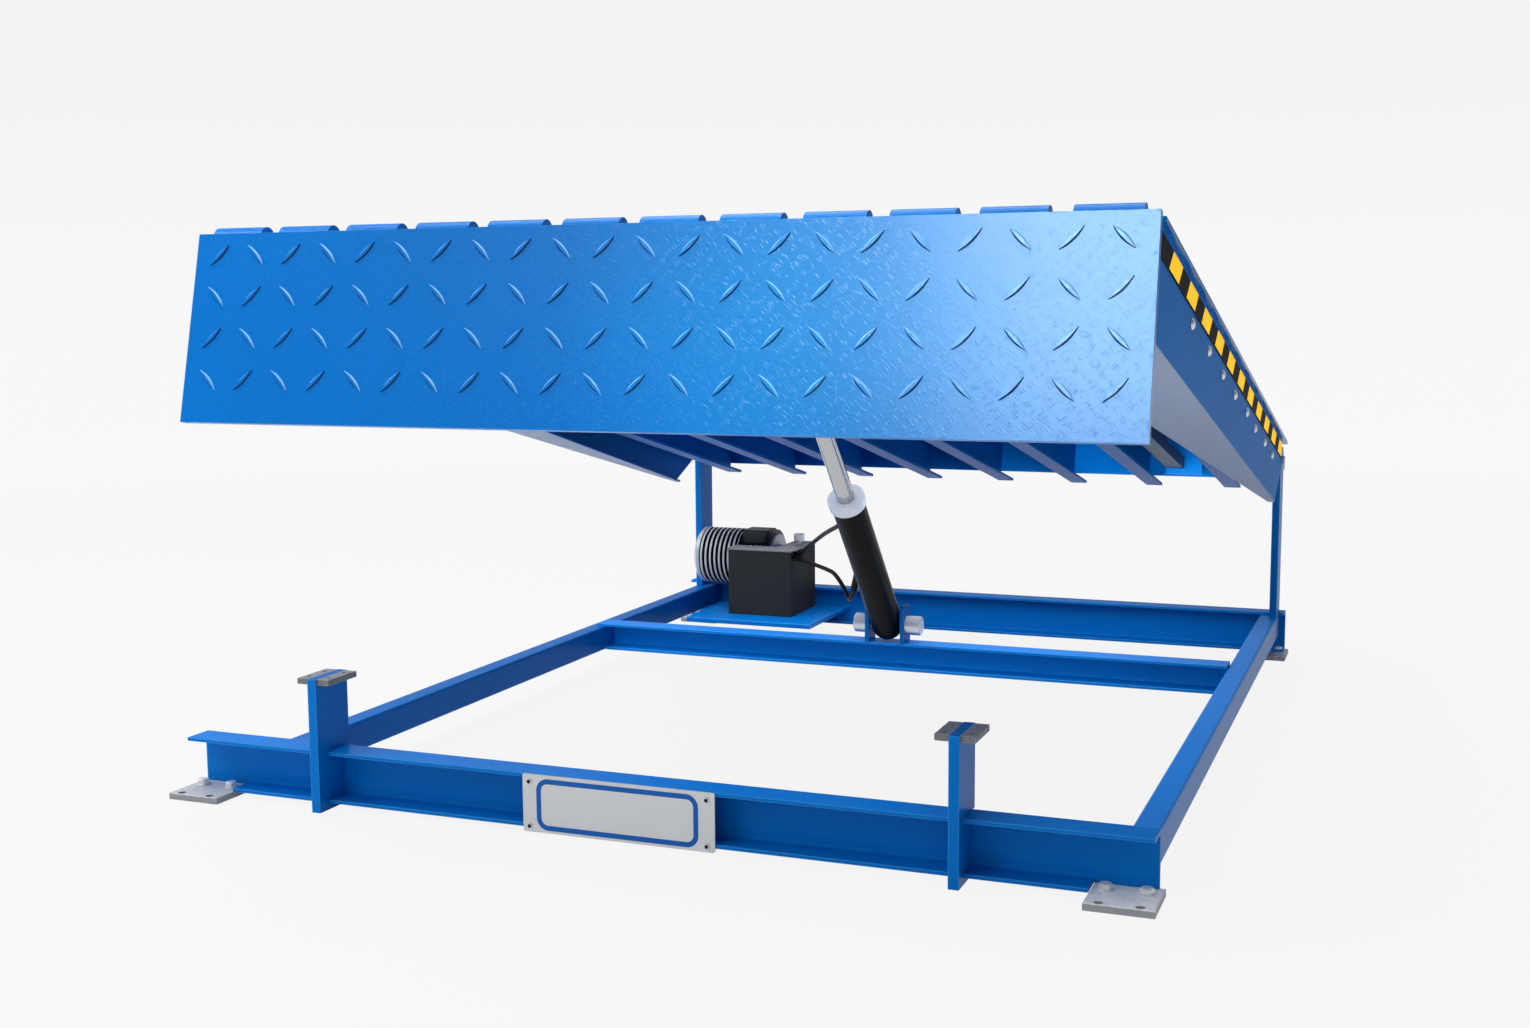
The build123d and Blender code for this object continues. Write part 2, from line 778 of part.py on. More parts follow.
# Clevis for the rod's eye under the deck
clevis_offset = rod_eye_width / 2 + clevis_gap + clevis_thickness / 2
with BuildPart() as rod_clevis:
    for side in (-1, 1):
        with BuildSketch(deck_side.offset(cylinder_x + side * clevis_offset)):
            eye_v = deck_above_hinge - rod_lug_drop
            with Locations((-rod_lug_forward, (eye_v + under_deck) / 2)):
                Rectangle(2 * clevis_half_length, under_deck - eye_v)
            with Locations((-rod_lug_forward, eye_v)):
                Circle(clevis_half_length)
        extrude(amount=clevis_thickness / 2, both=True)
save(rod_clevis, "rod_clevis")

# Lip hinge rod, held by notched gussets on the front header
gap_places = [(number - (knuckle_count - 2) / 2) * knuckle_pitch for number in range(knuckle_count - 1)]
with BuildPart() as lip_rod:
    with BuildSketch(deck_side.offset(-rod_half_length)):
        with Locations((rod_u, rod_v)):
            Circle(lip_rod_radius)
    extrude(amount=2 * rod_half_length)
save(lip_rod, "lip_rod")

with BuildPart() as rod_gussets:
    stop_u = rod_u - lip_face_offset + lip_thickness + stop_gap
    for place in gap_places:
        with BuildSketch(deck_side.offset(place)):
            with BuildLine():
                Polyline(
                    (deck_front_u, rod_v),
                    (rod_u, rod_v),
                    (rod_u, rod_v - lip_rod_radius - gusset_lip),
                    (stop_u, rod_v - knuckle_radius),
                    (stop_u, rod_v - knuckle_radius - stop_length),
                    (deck_front_u, rod_v - gusset_height),
                    close=True,
                )
            make_face()
            with Locations((rod_u, rod_v)):
                Circle(lip_rod_radius + lip_rod_fit, mode=Mode.SUBTRACT)
        extrude(amount=gusset_thickness / 2, both=True)
save(rod_gussets, "rod_gussets")

# Lip: a plate with twelve hinge knuckles along its top edge
with BuildPart() as lip:
    with BuildSketch(deck_side.offset(-deck_half_width)):
        with Locations((rod_u - lip_face_offset + lip_thickness / 2, lip_top - lip_length / 2)):
            Rectangle(lip_thickness, lip_length)
    extrude(amount=2 * deck_half_width)
    for number in range(knuckle_count):
        place = (number - (knuckle_count - 1) / 2) * knuckle_pitch
        with BuildSketch(deck_side.offset(place)):
            with Locations((rod_u, rod_v)):
                Circle(knuckle_radius)
        extrude(amount=knuckle_length / 2, both=True)
    with BuildSketch(deck_side.offset(-deck_half_width)):
        with Locations((rod_u, rod_v)):
            Circle(lip_rod_radius + lip_rod_fit)
    extrude(amount=2 * deck_half_width, mode=Mode.SUBTRACT)
save(lip, "lip")

# Maintenance prop stowed in a bracket under the deck
with BuildPart() as safety_prop:
    prop_v = deck_above_hinge - prop_drop
    with BuildSketch(deck_section(-prop_rear)):
        with Locations((prop_x, prop_v)):
            Rectangle(prop_width, prop_depth)
            with Locations((0, prop_wall)):
                Rectangle(prop_width - 2 * prop_wall, prop_depth, mode=Mode.SUBTRACT)
    extrude(amount=prop_front - prop_rear)
save(safety_prop, "safety_prop")

with BuildPart() as prop_plate:
    plate_bottom = prop_v - prop_depth / 2 - prop_plate_drop
    with BuildSketch(deck_section(-prop_rear + prop_plate_thickness)):
        with Locations((prop_x + prop_width / 2, (under_deck + plate_bottom) / 2)):
            Rectangle(prop_plate_width, under_deck - plate_bottom)
    extrude(amount=prop_plate_thickness)
save(prop_plate, "prop_plate")


def out_of_barrel(turn):
    """Direction square to the barrel, turned from its left side toward its upper side."""
    upper = Vector(0, cylinder_axis.Z, -cylinder_axis.Y)
    return Vector(-1, 0, 0) * cos(radians(turn)) + upper * sin(radians(turn))


# Elbows: each has its seat, the direction it leaves it in, and the point that its tail aims at
tank_right = tank_left + tank_width
port_top = tray_top + tank_height
high_seat = Vector(tank_right, tank_front + tank_port_high_back, port_top - tank_port_high_drop)
low_seat = Vector(tank_right, tank_front + tank_port_low_back, port_top - tank_port_low_drop)
tank_elbows = [(high_seat, Vector(1, 0, 0), upper_free[0]), (low_seat, Vector(1, 0, 0), lower_free[0])]
barrel_elbows = []
for along, turn, aim in ((barrel_length - port_below_gland, port_high_turn, upper_free[-1]),
                         (barrel_port_low, port_low_turn, lower_free[-1])):
    out = out_of_barrel(turn)
    seat = cylinder_pin + cylinder_axis * along + out * barrel_radius
    barrel_elbows.append((seat, out, aim))


def elbow_corner(elbow):
    """Where the middle lines of an elbow's stub and tail meet."""
    seat, out, aim = elbow
    return seat + out * stub_length


def elbow_end(elbow):
    """Middle of the face at the end of an elbow's tail."""
    corner = elbow_corner(elbow)
    return corner + (elbow[2] - corner).normalized() * elbow_tail


with BuildPart() as tank_fittings:
    for elbow in tank_elbows:
        seat, out, aim = elbow
        corner = elbow_corner(elbow)
        with BuildSketch(Plane(origin=seat, z_dir=out)):
            Circle(fitting_radius)
        extrude(amount=stub_length)
        with Locations(corner):
            Sphere(fitting_radius)
        with BuildSketch(Plane(origin=corner, z_dir=aim - corner)):
            Circle(fitting_radius)
        extrude(amount=elbow_tail)
save(tank_fittings, "tank_fittings")

# The stubs on the barrel start inside it and are cut to its curve
with BuildPart() as barrel_ports:
    for elbow in barrel_elbows:
        seat, out, aim = elbow
        corner = elbow_corner(elbow)
        with BuildSketch(Plane(origin=corner, z_dir=-out)):
            Circle(fitting_radius)
        extrude(amount=stub_length + fitting_radius)
        with Locations(corner):
            Sphere(fitting_radius)
        with BuildSketch(Plane(origin=corner, z_dir=aim - corner)):
            Circle(fitting_radius)
        extrude(amount=elbow_tail)
    with BuildSketch(cylinder_plane(0)):
        Circle(barrel_radius)
    extrude(amount=barrel_length, mode=Mode.SUBTRACT)
save(barrel_ports, "barrel_ports")

# Hoses: straight runs with an arc at each corner, which may take most of an end run
upper_route = [elbow_end(tank_elbows[0]), *upper_free, elbow_end(barrel_elbows[0])]
lower_route = [elbow_end(tank_elbows[1]), *lower_free, elbow_end(barrel_elbows[1])]


def corner_radii(route):
    """Radius of each corner: the largest whose arc takes no more than its share of the runs."""
    shares = [end_share] + [corner_share] * (len(route) - 3) + [end_share]
    radii = []
    for number in range(1, len(route) - 1):
        first = route[number] - route[number - 1]
        second = route[number + 1] - route[number]
        reach = min(first.length * shares[number - 1], second.length * shares[number])
        radii.append(reach / tan(radians(first.get_angle(second) / 2)))
    return radii


for route, name in ((upper_route, "upper_hose"), (lower_route, "lower_hose")):
    radii = corner_radii(route)
    print(name, "radii", [round(radius) for radius in radii])
    with BuildPart() as hose:
        with BuildLine() as path:
            FilletPolyline(*route, radius=radii)
        with BuildSketch(path.wires()[0] ^ 0):
            Circle(hose_radius)
        sweep()
    length = path.wires()[0].length
    print(name, [tuple(round(value, 2) for value in place) for place in route])
    print(name, "length", round(length), "volume ratio",
          round(hose.part.volume / (pi * hose_radius ** 2 * length), 4))
    save(hose, name)

cylinder_angle = degrees(atan2(rod_eye.Z - pin_z, cylinder_pin_y - rod_eye.Y))
print("cylinder length", round(cylinder_length, 1), "angle", round(cylinder_angle, 2))
print("origin from the datum", round(origin_x, 3), round(origin_y, 3))
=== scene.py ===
"""Finishes and fittings of a hydraulic dock leveler: enamel, tread, warning strips, hoses and bolts."""
from math import cos, pi, radians, sin

import bmesh
import bpy
from mathutils import Matrix, Vector


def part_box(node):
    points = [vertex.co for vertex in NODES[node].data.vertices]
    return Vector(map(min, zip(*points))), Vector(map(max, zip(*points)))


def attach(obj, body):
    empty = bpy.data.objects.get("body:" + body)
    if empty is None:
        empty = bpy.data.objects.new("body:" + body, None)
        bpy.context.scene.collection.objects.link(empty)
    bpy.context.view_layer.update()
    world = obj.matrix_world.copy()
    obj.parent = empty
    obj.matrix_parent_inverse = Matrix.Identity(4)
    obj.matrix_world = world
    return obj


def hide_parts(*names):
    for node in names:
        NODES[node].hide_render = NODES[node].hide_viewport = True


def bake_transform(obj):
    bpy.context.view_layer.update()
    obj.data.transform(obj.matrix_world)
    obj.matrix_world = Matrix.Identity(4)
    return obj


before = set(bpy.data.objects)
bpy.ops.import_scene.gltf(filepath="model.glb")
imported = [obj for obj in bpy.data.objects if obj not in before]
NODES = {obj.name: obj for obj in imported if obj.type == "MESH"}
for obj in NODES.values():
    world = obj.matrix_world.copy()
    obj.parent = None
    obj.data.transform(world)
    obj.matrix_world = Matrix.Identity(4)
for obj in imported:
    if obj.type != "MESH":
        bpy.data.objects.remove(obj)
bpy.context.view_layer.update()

bl_info = {
    "name": "Dock Leveler",
    "version": (1, 0, 0),
    "blender": (4, 5, 0),
    "location": "View3D > Sidebar > Leveler",
    "description": "Dresses a hydraulic dock leveler in its paint, tread, strips, hoses and bolts",
    "category": "Object",
}

# Places in metres. The datum is midway between the side members, at the back of the front beam.
DATUM = Vector((0.1065, -1.077363, 0))
HINGE = DATUM + Vector((0, 2.395, 0.622))
RISE = radians(12.7)
DECK_BACKWARDS = Vector((0, cos(RISE), -sin(RISE)))
DECK_UP = Vector((0, sin(RISE), cos(RISE)))
WHITE = (1, 1, 1, 1)


def from_datum(x, y, z):
    """A place given from the datum."""
    return DATUM + Vector((x, y, z))


def on_deck(x, u, v):
    """A place given from the deck's hinge: u to the rear along the deck, v square to it."""
    return HINGE + Vector((x, 0, 0)) + DECK_BACKWARDS * u + DECK_UP * v


def linear(code):
    """Scene-linear colour of an sRGB hex value."""
    parts = [int(code[place:place + 2], 16) / 255 for place in (0, 2, 4)]
    return tuple(c / 12.92 if c <= 0.04045 else ((c + 0.055) / 1.055) ** 2.4 for c in parts)


def tone(name, description, code):
    """A colour property whose default is an sRGB hex value."""
    return bpy.props.FloatVectorProperty(name=name, description=description, subtype="COLOR",
                                         size=3, min=0, max=1, default=linear(code))


def size(name, description, default):
    """A length property in metres."""
    return bpy.props.FloatProperty(name=name, description=description, unit="LENGTH",
                                   precision=4, min=0, default=default)


def power(name, description, default):
    """The power of a lamp."""
    return bpy.props.FloatProperty(name=name, description=description, unit="POWER", default=default)


def angle(name, description, degrees):
    """An angle property whose default is given in degrees."""
    return bpy.props.FloatProperty(name=name, description=description, subtype="ANGLE", default=radians(degrees))


def count(name, description, default):
    """A number of pieces, one or more."""
    return bpy.props.IntProperty(name=name, description=description, default=default, min=1)


class LevelerStage(bpy.types.PropertyGroup):
    """Camera, floor and lamps."""
    camera_place: bpy.props.FloatVectorProperty(
        name="Camera place", description="Where the camera stands", subtype="TRANSLATION",
        unit="LENGTH", default=(1.5786, -4.304863, 1.1245))
    camera_yaw: angle("Camera yaw", "Turn of the view to the left", 21.6)
    camera_pitch: angle("Camera pitch", "Tilt of the view, down below zero", -6.9)
    camera_roll: angle("Camera roll", "Roll of the view", -0.4)
    camera_lens: bpy.props.FloatProperty(
        name="Lens", description="Focal length", subtype="DISTANCE_CAMERA", default=40.494)
    floor_radius: size("Floor radius", "Reach of the floor round the camera", 57.0)
    front_light: power("Front light", "Softbox in front", 42)
    top_light: power("Top light", "Softbox overhead", 290)
    left_light: power("Left light", "Softbox at the upper left", 110)
    sheen_light: power("Sheen light", "Panel that the lip mirrors at its right end", 840)
    lip_light: power("Lip light", "Gridded lamp that fades the sheen out over the lip's middle", 0.83)
    glint_light: power("Glint light", "Panel that the tread marks and knuckles mirror", 600)
    deck_light: power("Deck light", "Panel over the tank", 31)
    beam_light: power("Beam light", "Panel over the beams", 28)
    web_light: power("Web light", "Panel before the mid beam", 5)
    rail_light: power("Rail light", "Panel over the front beam", 5)
    foot_light: power("Foot light", "Panel over the front right foot", 4)
    header_light: power("Header light", "Panel before the rear header", 8)


class LevelerColors(bpy.types.PropertyGroup):
    """Colours of the finishes."""
    enamel: tone("Enamel", "Blue enamel on frame, deck and lip", "0070C6")
    # Painted highlight: the pale tone laid over the enamel's edges, which also tints the dust nibs
    enamel_dust_and_edge_highlight: tone("Enamel edge", "Enamel where it thins over an edge", "4FA8F2")
    # Painted highlight on the tread marks' flanks that look up or to the left
    mark_painted_highlight: tone("Enamel flank", "Thin enamel on the flanks of the tread marks that met the spray", "86C4F6")
    # Painted shade on the tread marks' flanks that look down or to the right
    mark_painted_shade: tone("Enamel lee", "Thick enamel on the lee flanks of the tread marks", "00285E")
    # Painted reflection: the pale floor mirrored in faces that look down
    underside_reflection: tone("Underside", "Grey primer on faces that look down", "B2BCCC")
    plated_steel: tone("Plated steel", "Grey plates that are bolted down", "BCC1C6")
    # Painted highlight laid along the plates' edges
    zinc_edge_highlight: tone("Worn zinc", "Zinc that is rubbed bright along the plates' edges", "EFF1F3")
    bright_steel: tone("Bright steel", "Turned pins, collars and bolt heads", "D6DBE1")
    chrome: tone("Chrome", "Hard chrome on the piston rod", "BABCBE")
    barrel: tone("Barrel", "Black paint on the cylinder", "08090A")
    tank: tone("Tank", "Charcoal powder coat on the oil tank", "2B2E30")
    prop: tone("Prop", "Dark grey paint on the maintenance prop", "3E5874")
    casting: tone("Casting", "Black paint on the motor", "121315")
    rim: tone("Fin rim", "Turned rims of the motor's fins", "D4D6D8")
    rubber: tone("Hose rubber", "Cover of the hoses", "0B0C0E")
    film_yellow: tone("Film yellow", "Yellow blocks of the warning strips", "F7C22E")
    film_black: tone("Film black", "Black blocks of the warning strips", "141517")
    plate: tone("Name plate", "Brushed aluminium of the bare plate", "D2D5D8")
    border: tone("Plate border", "Printed line round the plate", "0A5CAF")


class LevelerTread(bpy.types.PropertyGroup):
    """Raised marks of the tread plate."""
    mark_length: size("Mark length", "Length of one mark", 0.061)
    mark_width: size("Mark width", "Width of one mark at its middle", 0.0135)
    mark_height: size("Mark height", "Height of a mark over the plate", 0.0032)
    pitch_across: size("Pitch across", "Distance between columns", 1.9 / 21)
    pitch_along: size("Pitch along", "Distance between rows", 0.0887)
    columns: count("Columns", "Marks across the plate", 22)
    lip_rows: count("Lip rows", "Rows of marks on the lip", 4)
    deck_rows: count("Deck rows", "Rows of marks on the deck", 30)


class LevelerFittings(bpy.types.PropertyGroup):
    """Bolts, screws, strips and hoses."""
    bolt_across: size("Bolt across flats", "Hexagon of the foot bolts", 0.024)
    bolt_height: size("Bolt head height", "Height of a foot bolt's head", 0.0115)
    washer_radius: size("Washer radius", "Radius of a foot bolt's washer", 0.0155)
    guard_bolt_radius: size("Guard bolt radius", "Radius of a round head on the guards", 0.012)
    guard_bolt_height: size("Guard bolt height", "Height of a round head on the guards", 0.0065)
    plate_screw_radius: size("Plate screw radius", "Radius of a name plate screw", 0.0065)
    lid_screw_radius: size("Lid screw radius", "Radius of a screw on the tank's lid", 0.005)
    stripe_pitch: size("Stripe pitch", "Length of one yellow and one black block", 0.232)
    stripe_lean: bpy.props.FloatProperty(name="Stripe lean", description="Rearward lean of a block", default=1.05)
    hose_radius: size("Hose radius", "Outer radius of the hoses", 0.0065)
    ferrule_radius: size("Ferrule radius", "Radius of the crimped ends of the hoses", 0.0098)


class Leveler(bpy.types.PropertyGroup):
    """All settings of the leveler."""
    stage: bpy.props.PointerProperty(type=LevelerStage, name="Stage", description="Camera and lamps")
    colors: bpy.props.PointerProperty(type=LevelerColors, name="Colours", description="Colours of the finishes")
    tread: bpy.props.PointerProperty(type=LevelerTread, name="Tread", description="Marks of the tread plate")
    fittings: bpy.props.PointerProperty(type=LevelerFittings, name="Fittings", description="Bolts and hoses")


def fill(tree, node, sockets):
    """Fill input sockets, by key or in their order, with values, sockets or the live outputs of nodes."""
    for key, value in sockets.items() if isinstance(sockets, dict) else enumerate(sockets):
        if isinstance(value, bpy.types.Node):
            value = next(socket for socket in value.outputs if socket.enabled)
        if isinstance(value, bpy.types.NodeSocket):
            tree.links.new(value, node.inputs[key])
        else:
            node.inputs[key].default_value = value


def add(tree, kind, sockets=(), **settings):
    """Add a node with its own settings, then fill its input sockets."""
    node = tree.nodes.new(kind)
    for name, value in settings.items():
        setattr(node, name, value)
    fill(tree, node, sockets)
    return node


def rgba(color):
    """A colour with full alpha."""
    return (*color, 1)


def new_material(name):
    """A material with an empty tree, its surface shader and the place on the object."""
    material = bpy.data.materials.new(name)
    material.use_nodes = True
    tree = material.node_tree
    tree.nodes.clear()
    surface = add(tree, "ShaderNodeBsdfPrincipled")
    add(tree, "ShaderNodeOutputMaterial", {"Surface": surface})
    place = add(tree, "ShaderNodeTexCoord").outputs["Object"]
    return material, tree, surface, place


def mottled(tree, place, scale, detail, reach, low, high):
    """Noise, and a share that goes from low to high while the noise goes over its reach."""
    noise = add(tree, "ShaderNodeTexNoise", {"Vector": place, "Scale": scale, "Detail": detail})
    return noise, add(tree, "ShaderNodeMapRange", (noise, *reach, low, high))


def rounded_edges(tree, radius):
    """The normal rounded over the edges, the true one, and how far they agree."""
    rounded = add(tree, "ShaderNodeBevel", {"Radius": radius}, samples=6)
    side = add(tree, "ShaderNodeNewGeometry").outputs["Normal"]
    return rounded, side, add(tree, "ShaderNodeVectorMath", (rounded, side), operation="DOT_PRODUCT")


def coated(tree, under, over, value, start, end, most):
    """A colour over another, from none to its most while a value goes from start to end."""
    color_a, color_b = 6, 7  # the inputs of a Mix node that take colours
    share = add(tree, "ShaderNodeMapRange", (value, start, end, 0.0, most))
    return add(tree, "ShaderNodeMix", {"Factor": share, color_a: under, color_b: rgba(over)}, data_type="RGBA")


def blue_enamel(colors, name="blue_enamel", tread=False, floor_reflection=0.0, edge=0.0035, roughness=0.36, index=1.15,
                shaded_side=None):
    """Sprayed alkyd enamel on rolled steel: even gloss, faint orange peel, a painted highlight over edges, and where
    asked a painted floor reflection on faces that look down and painted shade and highlight on the flanks of tread
    marks.
    """
    material, tree, surface, place = new_material(name)
    depth = mottled(tree, place, 1.6, 2.0, (0.3, 0.7), 0.94, 1.05)[1]
    coat = add(tree, "ShaderNodeVectorMath", {"Vector": colors.enamel, "Scale": depth}, operation="SCALE")
    # Dust nibs in the coat, a few millimetres apart
    dust = add(tree, "ShaderNodeTexNoise", {"Vector": place, "Scale": 260.0, "Detail": 1.0})
    color = coated(tree, coat, colors.enamel_dust_and_edge_highlight, dust, 0.66, 0.8, 0.12)
    # Painted highlight: the colour turns pale over the last millimetres at an edge, where the light would catch it
    rounded, side, along = rounded_edges(tree, edge)
    color = coated(tree, color, colors.enamel_dust_and_edge_highlight, along, 0.995, 0.9, 0.75)
    if floor_reflection:
        # Painted reflection: faces that look down turn grey, for the pale floor mirrored in them
        down = add(tree, "ShaderNodeVectorMath", (side, -DECK_UP), operation="DOT_PRODUCT")
        color = coated(tree, color, colors.underside_reflection, down, 0.8, 0.9, floor_reflection)
    if shaded_side:
        # Painted shade and highlight: flanks that face the shaded side are darkened, the others lightened
        flank = add(tree, "ShaderNodeVectorMath", (side, shaded_side), operation="DOT_PRODUCT")
        color = coated(tree, color, colors.mark_painted_shade, flank, 0.15, 0.38, 0.92)
        color = coated(tree, color, colors.mark_painted_highlight, flank, -0.15, -0.38, 0.9)
    # Orange peel, 5 mm across
    peel = add(tree, "ShaderNodeTexNoise", {"Vector": place, "Scale": 190.0, "Detail": 1.0})
    normal = add(tree, "ShaderNodeBump", {"Strength": 0.12, "Distance": 0.0003, "Height": peel, "Normal": rounded})
    if tread:
        # Fine rolled-in dashes, 10 mm long and 2 mm wide at both slants, that break the gloss
        down = add(tree, "ShaderNodeVectorMath", (place, DECK_UP + DECK_BACKWARDS), operation="DOT_PRODUCT")
        across = add(tree, "ShaderNodeSeparateXYZ", [place]).outputs["X"]
        flat = add(tree, "ShaderNodeCombineXYZ", {"X": across, "Y": down})
        for turn in (pi / 4, -pi / 4):
            turned = add(tree, "ShaderNodeVectorRotate", {"Vector": flat, "Angle": turn}, rotation_type="Z_AXIS")
            drawn = add(tree, "ShaderNodeMapping", {"Vector": turned, "Scale": (40, 210, 1)})
            cells = add(tree, "ShaderNodeTexVoronoi", {"Vector": drawn, "Scale": 1.0}, voronoi_dimensions="2D")
            dash = add(tree, "ShaderNodeMapRange", (cells.outputs["Distance"], 0.28, 0.12))
            # Only every other cell has one
            chance = add(tree, "ShaderNodeSeparateXYZ", [cells.outputs["Color"]])
            there = add(tree, "ShaderNodeMath", (chance.outputs["X"], 0.5), operation="GREATER_THAN")
            cut = add(tree, "ShaderNodeMath", (dash, there), operation="MULTIPLY")
            normal = add(tree, "ShaderNodeBump", {"Strength": 0.36, "Distance": 0.0004, "Height": cut,
                                                  "Normal": normal})
    fill(tree, surface, {"Base Color": color, "Normal": normal, "Roughness": roughness, "IOR": index})
    return material


def plated_steel(colors, name="zinc_plated_plate", brightness=1.0):
    """Zinc-plated hot-rolled plate: grey, slightly mottled, with painted highlights along its edges and painted shade
    on its sides.
    """
    material, tree, surface, place = new_material(name)
    mottle, shade = mottled(tree, place, 90.0, 4.0, (0.3, 0.7), 0.88 * brightness, 1.1 * brightness)
    zinc = add(tree, "ShaderNodeVectorMath", {"Vector": colors.plated_steel, "Scale": shade}, operation="SCALE")
    rounded, side, along = rounded_edges(tree, 0.002)
    # Painted shade: faces that do not look up are darker than the top
    upward = add(tree, "ShaderNodeSeparateXYZ", [side])
    side_shade = add(tree, "ShaderNodeMapRange", (upward.outputs["Z"], 0.3, 0.8, 0.5, 1.0))
    side_shaded_zinc = add(tree, "ShaderNodeVectorMath", {"Vector": zinc, "Scale": side_shade}, operation="SCALE")
    # Painted highlight along the plate's edges
    color = coated(tree, side_shaded_zinc, colors.zinc_edge_highlight, along, 0.98, 0.8, 0.45)
    grain = add(tree, "ShaderNodeBump", {"Strength": 0.15, "Distance": 0.0002, "Height": mottle, "Normal": rounded})
    fill(tree, surface, {"Base Color": color, "Metallic": 0.05, "Roughness": 0.45, "Normal": grain})
    return material


def turned_steel(colors, name="turned_steel", color=None, roughness=0.3, metallic=0.5):
    """Lathe-turned carbon steel, zinc plated: bright, with a fine satin from the tool."""
    material, tree, surface, place = new_material(name)
    streak = add(tree, "ShaderNodeMapping", {"Vector": place, "Scale": (900, 60, 60)})
    tool, gloss = mottled(tree, streak, 1.0, 2.0, (0.0, 1.0), roughness - 0.07, roughness + 0.09)
    rounded = add(tree, "ShaderNodeBevel", {"Radius": 0.001}, samples=4)
    marks = add(tree, "ShaderNodeBump", {"Strength": 0.08, "Distance": 0.0001, "Height": tool, "Normal": rounded})
    fill(tree, surface, {"Base Color": rgba(color or colors.bright_steel), "Metallic": metallic, "Roughness": gloss,
                         "Normal": marks})
    return material


def hard_chrome(colors):
    """Hard chrome on a ground rod: mirror-like, with faint polishing lines along the stroke."""
    material, tree, surface, place = new_material("hard_chrome")
    rod_lean = radians(-42.4)
    along = add(tree, "ShaderNodeVectorRotate", {"Vector": place, "Angle": rod_lean}, rotation_type="X_AXIS")
    lines = add(tree, "ShaderNodeMapping", {"Vector": along, "Scale": (500, 500, 3)})
    gloss = mottled(tree, lines, 1.0, 1.0, (0.0, 1.0), 0.06, 0.18)[1]
    fill(tree, surface, {"Base Color": rgba(colors.chrome), "Metallic": 1.0, "Roughness": gloss})
    return material


def brushed_aluminium(colors):
    """Brushed and anodised aluminium sheet: fine level lines, soft satin."""
    material, tree, surface, place = new_material("brushed_aluminium")
    # Brush lines, drawn 2 mm apart and 200 mm long so that they show
    lines = add(tree, "ShaderNodeMapping", {"Vector": place, "Scale": (5, 500, 500)})
    brush, shade = mottled(tree, lines, 1.0, 2.0, (0.3, 0.7), 0.975, 1.02)
    tinted = add(tree, "ShaderNodeVectorMath", {"Vector": colors.plate, "Scale": shade}, operation="SCALE")
    marks = add(tree, "ShaderNodeBump", {"Strength": 0.08, "Distance": 0.0001, "Height": brush})
    fill(tree, surface, {"Base Color": tinted, "Metallic": 0.25, "Roughness": 0.42, "Normal": marks})
    return material


def powder_coat(name, color, roughness=0.5, grain=0.0014, relief=0.25, index=1.3):
    """Baked powder coat: deep even colour with a fine pebbled skin and softened edges."""
    material, tree, surface, place = new_material(name)
    skin = add(tree, "ShaderNodeTexVoronoi", {"Vector": place, "Scale": 1 / grain})
    gloss = mottled(tree, place, 12.0, 3.0, (0.0, 1.0), roughness - 0.08, roughness + 0.08)[1]
    rounded = add(tree, "ShaderNodeBevel", {"Radius": 0.0018}, samples=6)
    pebble = add(tree, "ShaderNodeBump", {"Strength": relief, "Distance": 0.0002, "Height": skin,
                                          "Normal": rounded})
    fill(tree, surface, {"Base Color": rgba(color), "Roughness": gloss, "Normal": pebble, "IOR": index})
    return material


def motor_casting(colors):
    """Cast aluminium painted black, its fin rims and end faces turned bright after painting."""
    material, tree, surface, place = new_material("painted_casting")
    axis, rim_radius = from_datum(0, 2.332, 0.25), 0.0955
    fins_end, box_start, box_seat = from_datum(-0.705, 0, 0).x, from_datum(-0.798, 0, 0).x, axis.z + 0.03
    out = add(tree, "ShaderNodeVectorMath", (place, axis), operation="SUBTRACT")
    square = add(tree, "ShaderNodeVectorMath", (out, (0, 1, 1)), operation="MULTIPLY")
    radius = add(tree, "ShaderNodeVectorMath", [square], operation="LENGTH")
    turned = add(tree, "ShaderNodeMapRange", (radius, rim_radius, rim_radius + 0.0007))
    # The end shield, right of the fins, and the seat under the terminal box stay black
    at = add(tree, "ShaderNodeSeparateXYZ", [place])
    fins = add(tree, "ShaderNodeMath", (at.outputs["X"], fins_end), operation="LESS_THAN")
    boxed = add(tree, "ShaderNodeMath", (at.outputs["X"], box_start), operation="GREATER_THAN")
    low = add(tree, "ShaderNodeMath", (at.outputs["Z"], box_seat), operation="LESS_THAN")
    left_over = add(tree, "ShaderNodeMath", (low, boxed), operation="SUBTRACT")
    free = add(tree, "ShaderNodeMath", (left_over, -0.5), operation="GREATER_THAN")
    shown = add(tree, "ShaderNodeMath", (fins, free), operation="MULTIPLY")
    rim = add(tree, "ShaderNodeMath", (turned, shown), operation="MULTIPLY")
    color = coated(tree, rgba(colors.casting), colors.rim, rim, 0.0, 1.0, 1.0)
    sand = add(tree, "ShaderNodeTexNoise", {"Vector": place, "Scale": 500.0, "Detail": 2.0})
    cast = add(tree, "ShaderNodeBump", {"Strength": 0.2, "Distance": 0.0002, "Height": sand})
    gloss = add(tree, "ShaderNodeMapRange", (rim, 0.0, 1.0, 0.5, 0.3))
    fill(tree, surface, {"Base Color": color, "Roughness": gloss, "Normal": cast})
    return material


def hose_rubber(colors):
    """Synthetic rubber hose cover, cloth wrapped when cured: black, satin, with a fine woven print."""
    material, tree, surface, place = new_material("hose_rubber")
    weave = add(tree, "ShaderNodeTexWave", {"Vector": place, "Scale": 260.0, "Distortion": 1.0})
    cloth = add(tree, "ShaderNodeBump", {"Strength": 0.15, "Distance": 0.0002, "Height": weave})
    fill(tree, surface, {"Base Color": rgba(colors.rubber), "Roughness": 0.5, "IOR": 1.3, "Normal": cloth})
    return material


